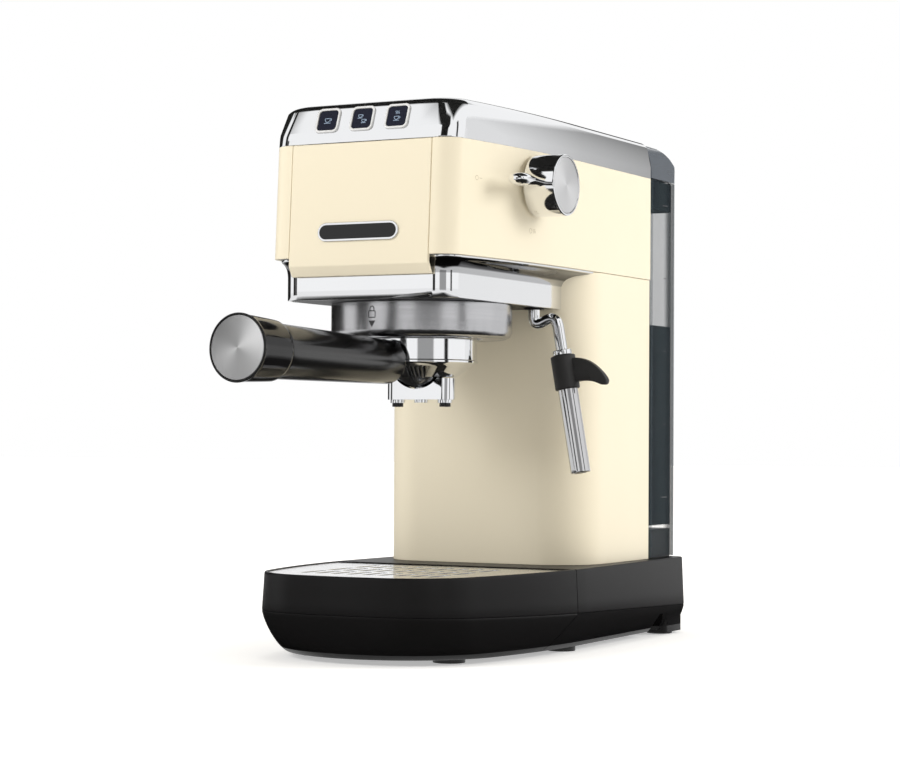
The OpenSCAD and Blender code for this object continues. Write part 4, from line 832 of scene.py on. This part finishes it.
# %% Handle cap and its disc
handle_piece("handle_cap_skin", outline(
    (147.7, 4), bend((147.7, 14.6), (147.7, 15.4), (148.3, 15.9), 5),
    smooth_line([[149, 16.35], [156, 16.75], [165, 17.2], [173.0, 17.62]], 4),
    bend((173.0, 17.62), (175.0, 17.75), (175.4, 17.95), 4),
    bend((175.5, 17.98), (175.95, 17.95), (176.0, 17.4), 5),
    bend((176.0, 17.1), (175.98, 16.85), (175.6, 16.8), 4), (174.4, 16.8), (174.4, 4)),
    gloss_black, "black_gloss", ["handle_cap"])
handle_face = spun_disc("handle_face", (0.80, 0.80, 0.80), HANDLE / 1000, across_handle, upward, 0.60, 1.2)
handle_piece("handle_disc_face", outline(
    (174.4, 0.0), (174.4, 16.7), (175.6, 16.7), bend((175.6, 16.7), (175.8, 16.7), (175.8, 16.4), 3),
    (175.8, 0.0)), handle_face, "brushed_alu", ["handle_disc"])

# %% [markdown]
# ## The steam wand
# A bent chrome tube, a rubber grip with a thumb fin, and a steel sleeve that slides off for cleaning. A
# round curve object could be the tube, but a circle carried along a flat path is a mesh at once, and needs
# no twist.

# %% Wand path
TILT = math.radians(10)
WAND_TOP, WAND = np.array([46.0, -7.5, 207.1]), np.array([61.0, -7.5, 190.7])
WAND_LOW_CORNER, SWIVEL = (46.0, -7.5, 187.2), (46, -7.5, 0)
WAND_LONG, WAND_RADIUS, WAND_BEND = 75.2, 3.5, 7.0
wand_axis = np.array([math.sin(TILT), 0, -math.cos(TILT)])
fin_side = np.array([math.cos(TILT), 0, math.sin(TILT)])


def round_path(corners, radius, count):
    """Straight runs joined by quadratic bends that start radius before each corner."""
    p = [np.array(c, float) for c in corners]
    line = [p[0]]
    for a, b, c in zip(p, p[1:], p[2:]):
        before, after = (b + radius * (end - b) / np.linalg.norm(end - b) for end in (a, c))
        line.append(bend(before, b, after, count))
    return outline(*line, p[-1])


def swept(path, radius, side, count=40):
    """Circles round each point of a flat path: path + radius * (cos a * side + sin a * (tangent x side)),
    with side square to the path's plane."""
    tangent = np.gradient(path, axis=0)
    tangent /= np.linalg.norm(tangent, axis=1)[:, None]
    other = np.cross(tangent, side)[:, None]
    a = (np.arange(count) * 2 * math.pi / count)[None, :, None]
    return path[:, None] + radius * (np.cos(a) * np.array(side, float) + np.sin(a) * other)


route = round_path([WAND_TOP, WAND_LOW_CORNER, WAND - WAND_RADIUS * wand_axis,
                    WAND + WAND_LONG * wand_axis], WAND_BEND, 14)
swivel = [[199.2, 0], [199.2, 3.9], [199.6, 4.3], [206.2, 4.3], [206.2, 5.1], [208.2, 5.1], [208.2, 0]]
solids("wand_skin", [swept(route, WAND_RADIUS, BACK), lathe(swivel, SWIVEL, UP, OUT, 40)],
       "wand", chrome, "chrome_plate", ["wand_tube"])

# %% Wand grip and sleeve
GRIP_FROM, FIN_MIDDLE = 20.2, np.array([12.5, 11.5])
hand = outline(bend((20.2, 6.2), (20.2, 7.2), (21.2, 7.2), 5), (24, 7.2), (36, 7.2),
               bend((39.2, 7.2), (40.2, 7.2), (40.2, 6.2), 5))
fin = smooth_line([[2, 2.6], [9.2, 2.9], [16.2, 6], [22.2, 12], [25.7, 18], [25.3, 20.8], [22.7, 21.3],
                   [17.2, 18.4], [10.2, 16.8], [2, 16.6]], 5)
away = fin - FIN_MIDDLE
fin_rings = []
for y, shrink in ((-2.5, 0.7), (-2.3, 0.25), (-1.8, 0.0), (1.8, 0.0), (2.3, 0.25), (2.5, 0.7)):
    line = fin - shrink * away / np.linalg.norm(away, axis=1)[:, None]
    along = (GRIP_FROM + line[:, 1:]) * wand_axis
    fin_rings.append(WAND + line[:, :1] * fin_side + along + np.array([0, y, 0]))
solids("wand_grip_skin", [lathe(hand, WAND, wand_axis, fin_side, 64), fin_rings],
       "wand", rubber_black, "black_satin", ["wand_grip"])
sleeve = outline((34.4, 5.0), (34.4, 5.8), (40, 5.8), (86.6, 5.8),
                 bend((88.4, 5.8), (89.2, 5.8), (89.2, 5.0), 5), (89.2, 3.9),
                 bend((89.2, 3.9), (88.9, 3.6), (88, 3.6), 3), (40, 3.6), (34.4, 5.0))
shell("sleeve_skin", lathe(sleeve, WAND, wand_axis, fin_side, 64),
      "sleeve", sleeve_steel, "polished_steel", ["frother_sleeve"])

# %% [markdown]
# ## The water and the tank's dark band
# A Boolean could cut the water out of the tank. Rings of the tank's own plan, a hair inside its wall, are
# simpler and lie on no other surface. The dark band under the lid is a hollow ring in the same finish.

# %% Water and band
WATER_TOP, BAND_LOW, BAND_HIGH = 194.0, 267.5, 285.0
shell("tank_water", [tank_ring(2.6, 68.6), tank_ring(2.4, 68.9), tank_ring(2.4, WATER_TOP - 0.4),
                     tank_ring(2.5, WATER_TOP)], "tank", water_dark, "smoked_clear")
shell("tank_band", [tank_ring(2.3, BAND_LOW), tank_ring(2.3, BAND_HIGH), tank_ring(3.4, BAND_HIGH),
                    tank_ring(3.4, BAND_LOW)], "tank", water_dark, "smoked_clear", loop=True)

# %% [markdown]
# ## The name plate
# A black plate with a chrome rim sits on the front panel and stays blank. Slabs and cylinders could be
# joined, but its ends are half circles, so one outline at two sizes does it.

# %% Name plate
PLATE_Z, PANEL_FRONT, PANEL_TOP, PANEL_TALL = 235.5, -130, 284.9, 67.9


def on_panel(u, v, h):
    """On the leaning front panel: u is x, v is z; from its top down, the face moves LEAN forward."""
    return np.stack([u, PANEL_FRONT - LEAN * (PANEL_TOP - v) / PANEL_TALL - h, v], -1)


def plate(name, half, tall, high, finish, slot, bevel):
    """A slab with round ends of radius tall / 2, from just inside the panel to the height high."""
    r = tall / 2
    a = np.linspace(-math.pi / 2, math.pi / 2, 9)
    end = np.stack([half - r + r * np.cos(a), PLATE_Z + r * np.sin(a)], -1)
    u, v = whole(end).T
    shell(name, [on_panel(u, v, h) for h in (-0.2, high)], "machine", finish, slot, bevel=bevel)


plate("name_plate_rim", 25.5, 10.4, 0.9, chrome, "chrome_plate", 0.3)
plate("name_plate", 24.3, 8.0, 1.02, gloss_black, "black_gloss", 0.15)

# %% [markdown]
# ## Small marks
# The keys carry plain signs, thin as print. Text needs a font and a picture needs a map, so each sign is a
# few ribbons of constant width. Each surface has a function that takes flat places u, v and a height to
# places in space.

# %% Strokes
def ribbon(line, width=0.3):
    """A stroke's closed outline: the line moved by half the width to each side, square to its direction."""
    line = np.asarray(line, float)
    t = np.gradient(line, axis=0)
    t /= np.linalg.norm(t, axis=1)[:, None]
    n = np.stack([-t[:, 1], t[:, 0]], -1) * width / 2
    return np.concatenate([line + n, (line - n)[::-1]])


def marks(name, outlines, to_space, thick, body, finish, slot):
    """Flat outlines carried to the surface by to_space(u, v, height), each a thin slab of quads."""
    points, faces = [], []
    for line in outlines:
        n, first = len(line), sum(len(p) for p in points)
        for low in (first, first + n):
            faces += [[low + k, low + k + 1, low + n - 2 - k, low + n - 1 - k] for k in range(n // 2 - 1)]
        faces += [[first + k, first + (k + 1) % n, first + n + (k + 1) % n, first + n + k] for k in range(n)]
        points.append(np.concatenate([to_space(line[:, 0], line[:, 1], h) for h in (-0.05, thick)]))
    add_mesh(name, np.concatenate(points), faces, body, finish, slot)


def turn_line(centre, radius, start, end, count=14, squash=1.0):
    """An arc in degrees, centre + radius * (cos a, squash * sin a)."""
    a = np.radians(np.linspace(start, end, count))
    return np.stack([centre[0] + radius * np.cos(a), centre[1] + squash * radius * np.sin(a)], -1)


def cup(x, y, s):
    """A small cup: a rim, a bowl, a handle and a saucer, in strokes."""
    w = 0.32
    return [ribbon([(x - 1.5 * s, y + 0.9 * s), (x + 1.3 * s, y + 0.9 * s)], w),
            ribbon(turn_line((x - 0.1 * s, y + 0.8 * s), 1.35 * s, 180, 360, squash=1.25), w),
            ribbon(turn_line((x + 1.35 * s, y + 0.25 * s), 0.55 * s, -100, 80, 8), w),
            ribbon([(x - 1.7 * s, y - 1.35 * s), (x + 1.6 * s, y - 1.35 * s)], w)]


def steam(x, y, s):
    """Three wavy strokes side by side."""
    waves = ([[x + d * s, y - s], [x + (d + 0.35) * s, y - 0.3 * s], [x + (d - 0.35) * s, y + 0.4 * s],
              [x + d * s, y + s]] for d in (-0.9, 0, 0.9))
    return [ribbon(smooth_line(wave, 5)) for wave in waves]


print("points in a cup", sum(len(line) for line in cup(0, 0, 1)))

# %% Key signs
KEY_FACE, KEY_OUT = (-126.25, 298.1), 0.5


def on_key(shift):
    """On a key's sloping face: u is x from the key's middle, v runs up the slope."""
    def place(u, v, h):
        out = KEY_OUT + h
        return np.stack([u + shift, KEY_FACE[0] + v * math.sin(SLOPE) - out * math.cos(SLOPE),
                         KEY_FACE[1] + v * math.cos(SLOPE) + out * math.sin(SLOPE)], -1)
    return place


for name, key, strokes in (("one_cup", KEYS[0], cup(0, 0, 1.25)),
                           ("two_cup", KEYS[1], cup(-1.3, 1.4, 0.9) + cup(1.3, -1.6, 0.9)),
                           ("steam", KEYS[2], cup(0, -1.2, 1.1) + steam(0, 2.2, 1.0))):
    marks(f"{name}_sign", strokes, on_key(key), 0.05, f"{name}_key", print_blue, "key_frame")

# %% [markdown]
# The group ring shows which way the portafilter locks: a padlock over an arrow. The head's side has two
# faint signs for the knob, and the tank plain level lines.

# %% Ring, head and tank signs
RING_RADIUS, RING_Y, SIDE_HALF, SIDE_RADIUS, SIDE_Y = 51.9, -60, 69, 800, 10
LOCK_U, LOCK_Z, ARROW_TOP, ARROW_TIP, TANK_HALF = -3.1, 189.4, 187.6, 184.0, 69.0


def on_ring(u, v, h):
    """u runs along the ring's face from its front, v up."""
    a, r = u / RING_RADIUS, RING_RADIUS + h
    return np.stack([r * np.sin(a), RING_Y - r * np.cos(a), v], -1)


def on_side(u, v, h):
    """On the head's bowed right side: u is y, v is z; the plan is a circle, stretched as leaning() does."""
    k = lean(v)
    y = (u + k * REAR) / (1 + k)
    return np.stack([SIDE_HALF - SIDE_RADIUS + np.sqrt(SIDE_RADIUS ** 2 - (y - SIDE_Y) ** 2) + h, u, v], -1)


def on_tank(u, v, h):
    """On the tank's flat right side: u is y, v is z."""
    return np.stack([np.full_like(u, TANK_HALF) + h, u, v], -1)


body = [(-2.1, 0), (2.1, 0), (2.1, 3.6), (-2.1, 3.6), (-2.1, 0)]
lock = [ribbon(np.array([LOCK_U, LOCK_Z]) + pair, 0.5) for pair in zip(body, body[1:])]
lock.append(ribbon(turn_line((LOCK_U, LOCK_Z + 4.6), 1.35, -35, 215, 18, 1.25), 0.5))
arrow = np.array([[LOCK_U + du, ARROW_TOP] for du in (-2.2, 0, 2.2)]
                 + [[LOCK_U + 0.1, ARROW_TIP + 0.1], [LOCK_U, ARROW_TIP], [LOCK_U - 0.1, ARROW_TIP + 0.1]])
marks("lock_sign", lock + [arrow], on_ring, 0.05, "machine", print_dark, "black_satin")
knob_signs = [ribbon(turn_line((-108.4, 264.5), 1.3, 0, 350, 16)), ribbon([(-106, 264.5), (-103.5, 264.5)]),
              ribbon(turn_line((-54.5, 239.5), 1.3, 0, 350, 16))] + steam(-50.6, 239.6, 1.2)
marks("knob_signs", knob_signs, on_side, 0.04, "machine", print_grey, "cream_shell")
levels = [ribbon([(129, z), (137, z)], 0.5) for z in (270, 86)]
levels += [ribbon([(131, z), (135, z)], 0.4) for z in (224, 178, 132)]
marks("level_marks", levels, on_tank, 0.06, "tank", print_dark, "smoked_clear")

# %% [markdown]
# ## Floor, panels, lamps and sky
# The sky is pale and warm where it lights the part, and plain white to the camera and in mirrors. A plain
# sky needs no file and mirrors nothing that isn't there.

# %% Sky
world = bpy.data.worlds.new("sky")
bpy.context.scene.world = world
world.use_nodes = True
sky = Nodes(world.node_tree)
for_camera, for_gloss, for_glass = (sky.ray(kind) for kind in ("Camera", "Glossy", "Transmission"))
plain = sky.node("ShaderNodeBackground", inputs=[(1, 0.94, 0.825, 1), 0.50])
bright = sky.node("ShaderNodeBackground", inputs=[(1, 1, 1, 1), 1.0])
share = for_camera.apply("MAXIMUM", for_gloss).apply("MAXIMUM", for_glass)
both = sky.node("ShaderNodeMixShader", inputs=[share, plain, bright])
sky.put(sky.tree.nodes["World Output"].inputs[0], both)
print("sky nodes", len(world.node_tree.nodes))

# %% [markdown]
# The floor keeps the machine's shadow. It glows to the camera, the more the farther from the part, and is
# plain white in mirrors. A shadow catcher could do it, but chrome has to show a floor.

# %% Floor
def stage_sheet(name, corners, material, faces=((0, 1, 2, 3),), hidden=False):
    """A flat sheet for the studio; hidden ones show only in reflections."""
    mesh = bpy.data.meshes.new(name)
    mesh.from_pydata(corners, [], faces)
    obj = bpy.data.objects.new(name, mesh)
    bpy.context.scene.collection.objects.link(obj)
    mesh.materials.append(material)
    if hidden:
        obj.visible_camera = obj.visible_diffuse = obj.visible_shadow = obj.visible_transmission = False
    return obj


FLOOR_HALF, GLOW_FROM, GLOW_OVER = 8, 0.25, 1.1
ground = Finish("floor_white")
ground.principled(Base_Color=(0.9, 0.9, 0.9, 1), Roughness=0.8)
surface = Value(ground, ground.shader.outputs[0])
x, y, _ = ground.axes()
far = (((x * x + y * y) ** 0.5 - GLOW_FROM) / GLOW_OVER).clamped()
glow = ground.node("ShaderNodeEmission", inputs=[(1, 1, 1, 1), far * 0.35 + 0.42])
white = ground.node("ShaderNodeEmission", inputs=[(1, 1, 1, 1), 0.9])
lit = ground.node("ShaderNodeAddShader", inputs=[surface, glow])
camera_ray, glossy_ray = (ground.ray(kind) for kind in ("Camera", "Glossy"))
seen = ground.node("ShaderNodeMixShader", inputs=[camera_ray, surface, lit])
both = ground.node("ShaderNodeMixShader", inputs=[glossy_ray, seen, white])
ground.put(ground.tree.nodes["Material Output"].inputs[0], both)
corners = [(x * FLOOR_HALF, y * FLOOR_HALF, 0) for x, y in ((-1, -1), (1, -1), (1, 1), (-1, 1))]
stage_sheet("floor", corners, ground.material)
print("floor", 2 * FLOOR_HALF, "m wide")

# %% [markdown]
# Chrome shows what stands round it. As in a studio, dark panels give it its dark bands. They show only in
# reflections, and fade out at their edges by a UV layer that is 1 in their middle and 0 on their rim, so
# that no band ends in a hard line.

# %% Panels
dark, mid, grey = Finish("studio_black"), Finish("studio_mid"), Finish("studio_grey")
across, _, height = grey.axes()
gap, low = ((across - 0.1) * 0.65).clamped(), ((0.52 - height) * 8.0).clamped()
tone = grey.mix(low, grey.mix(gap, (0.15, 0.15, 0.15), (0.80, 0.80, 0.80)), (0.88, 0.88, 0.88))
for sheet, shine in ((dark, (0, 0, 0, 1)), (mid, (0.33, 0.33, 0.33, 1)), (grey, tone)):
    fade = sheet.axes(sheet.node("ShaderNodeUVMap", {"uv_map": "fade"}))[0]
    sheet.principled(Base_Color=(0.01, 0.01, 0.01, 1), Roughness=1.0, Emission_Color=shine,
                     Emission_Strength=1.0, Alpha=fade)


def panel(name, centre, facing, width, height, soft=0.1, tone=dark):
    """A panel centred at a point and facing another, that fades over its outer soft metres. It is a grid of
    4 by 4 points: centre + a * side + b * over."""
    centre = Vector(centre)
    back = (Vector(facing) - centre).normalized()
    side = Vector((0, 0, 1)).cross(back)
    side = side.normalized() if side.length > 0.01 else Vector((1, 0, 0))
    over = back.cross(side)
    along, up = ([-size / 2, soft - size / 2, size / 2 - soft, size / 2] for size in (width, height))
    corners = [centre + a * side + b * over for b in up for a in along]
    faces = ring_faces(4, 4, ends=False, around_ring=False)
    sheet = stage_sheet(name, corners, tone.material, faces, hidden=True)
    fade = sheet.data.uv_layers.new(name="fade")
    for loop in sheet.data.loops:
        row, column = divmod(loop.vertex_index, 4)
        fade.uv[loop.index].vector = (float(row in (1, 2) and column in (1, 2)), 0.0)


for name, *place in (
        ("ceiling", (-0.4, 0.6, 2.15), (-0.4, 0.59, 0), 4.0, 3.5, 0.3),
        ("over_lens", (0.36, -1.38, 1.62), (0, 0, 0.3), 1.3, 0.9, 0.12),
        ("over_front", (-0.55, -1.02, 1.80), (0, 0, 0.3), 1.8, 0.8, 0.12),
        ("strip", (0.42, -1.72, 1.12), (0, 0, 0.6), 1.2, 1.5),
        ("mid", (1.02, -1.42, 0.35), (0, 0, 0.3), 1.1, 0.75, 0.1, mid),
        ("right", (1.72, -0.36, 0.62), (0, 0, 0.25), 0.36, 1.9),
        ("far_left", (-1.7, 0.62, 1.0), (0, 0, 0.8), 2.0, 2.6, 0.15),
        ("left", (-1.42, -1.08, 1.0), (0, 0, 0.8), 0.56, 2.6, 0.12),
        ("left_low", (-1.20, -1.335, 0.4), (0, 0, 0.6), 0.36, 1.4),
        ("front", (-0.27, -1.84, 0.35), (0, 0, 0.3), 0.5, 0.9),
        ("back", (-0.8, 1.8, 0.88), (0, 0, 0.3), 0.9, 0.6),
        ("low", (0.1, -0.3, 0.006), (0.1, -0.299, 1), 1.6, 1.6, 0.3),
        ("grey", (1.0, 2.1, 0.62), (0, 0, 0.62), 2.4, 1.6, 0.15, grey)):
    panel(f"panel_{name}", *place)

# %% [markdown]
# Large soft lamps light the part and draw its shadow. A sun could do it, but its shadow is too sharp for a
# room. The lamps don't show in reflections, because the panels and the sky already say what the chrome
# mirrors.

# %% Lamps
def lamp(name, place, target, size, power):
    """A square soft lamp at place that faces target."""
    light = bpy.data.lights.new(name, "AREA")
    light.shape, light.size, light.energy = "SQUARE", size, power
    obj = bpy.data.objects.new(name, light)
    aim = (Vector(place) - Vector(target)).to_track_quat("Z", "Y").to_matrix().to_4x4()
    obj.matrix_world = Matrix.Translation(place) @ aim
    obj.visible_glossy = False
    bpy.context.scene.collection.objects.link(obj)


lamp("key_lamp", (-1.0, -1.6, 1.2), (0, 0, 0.15), 1.0, 20.5)
lamp("side_lamp", (1.7, 0.7, 0.9), (0, 0, 0.15), 0.9, 19)
lamp("top_lamp", (0.1, 0.2, 2.0), (0, 0, 0.1), 1.0, 9)
print("lamps", len(bpy.data.lights))
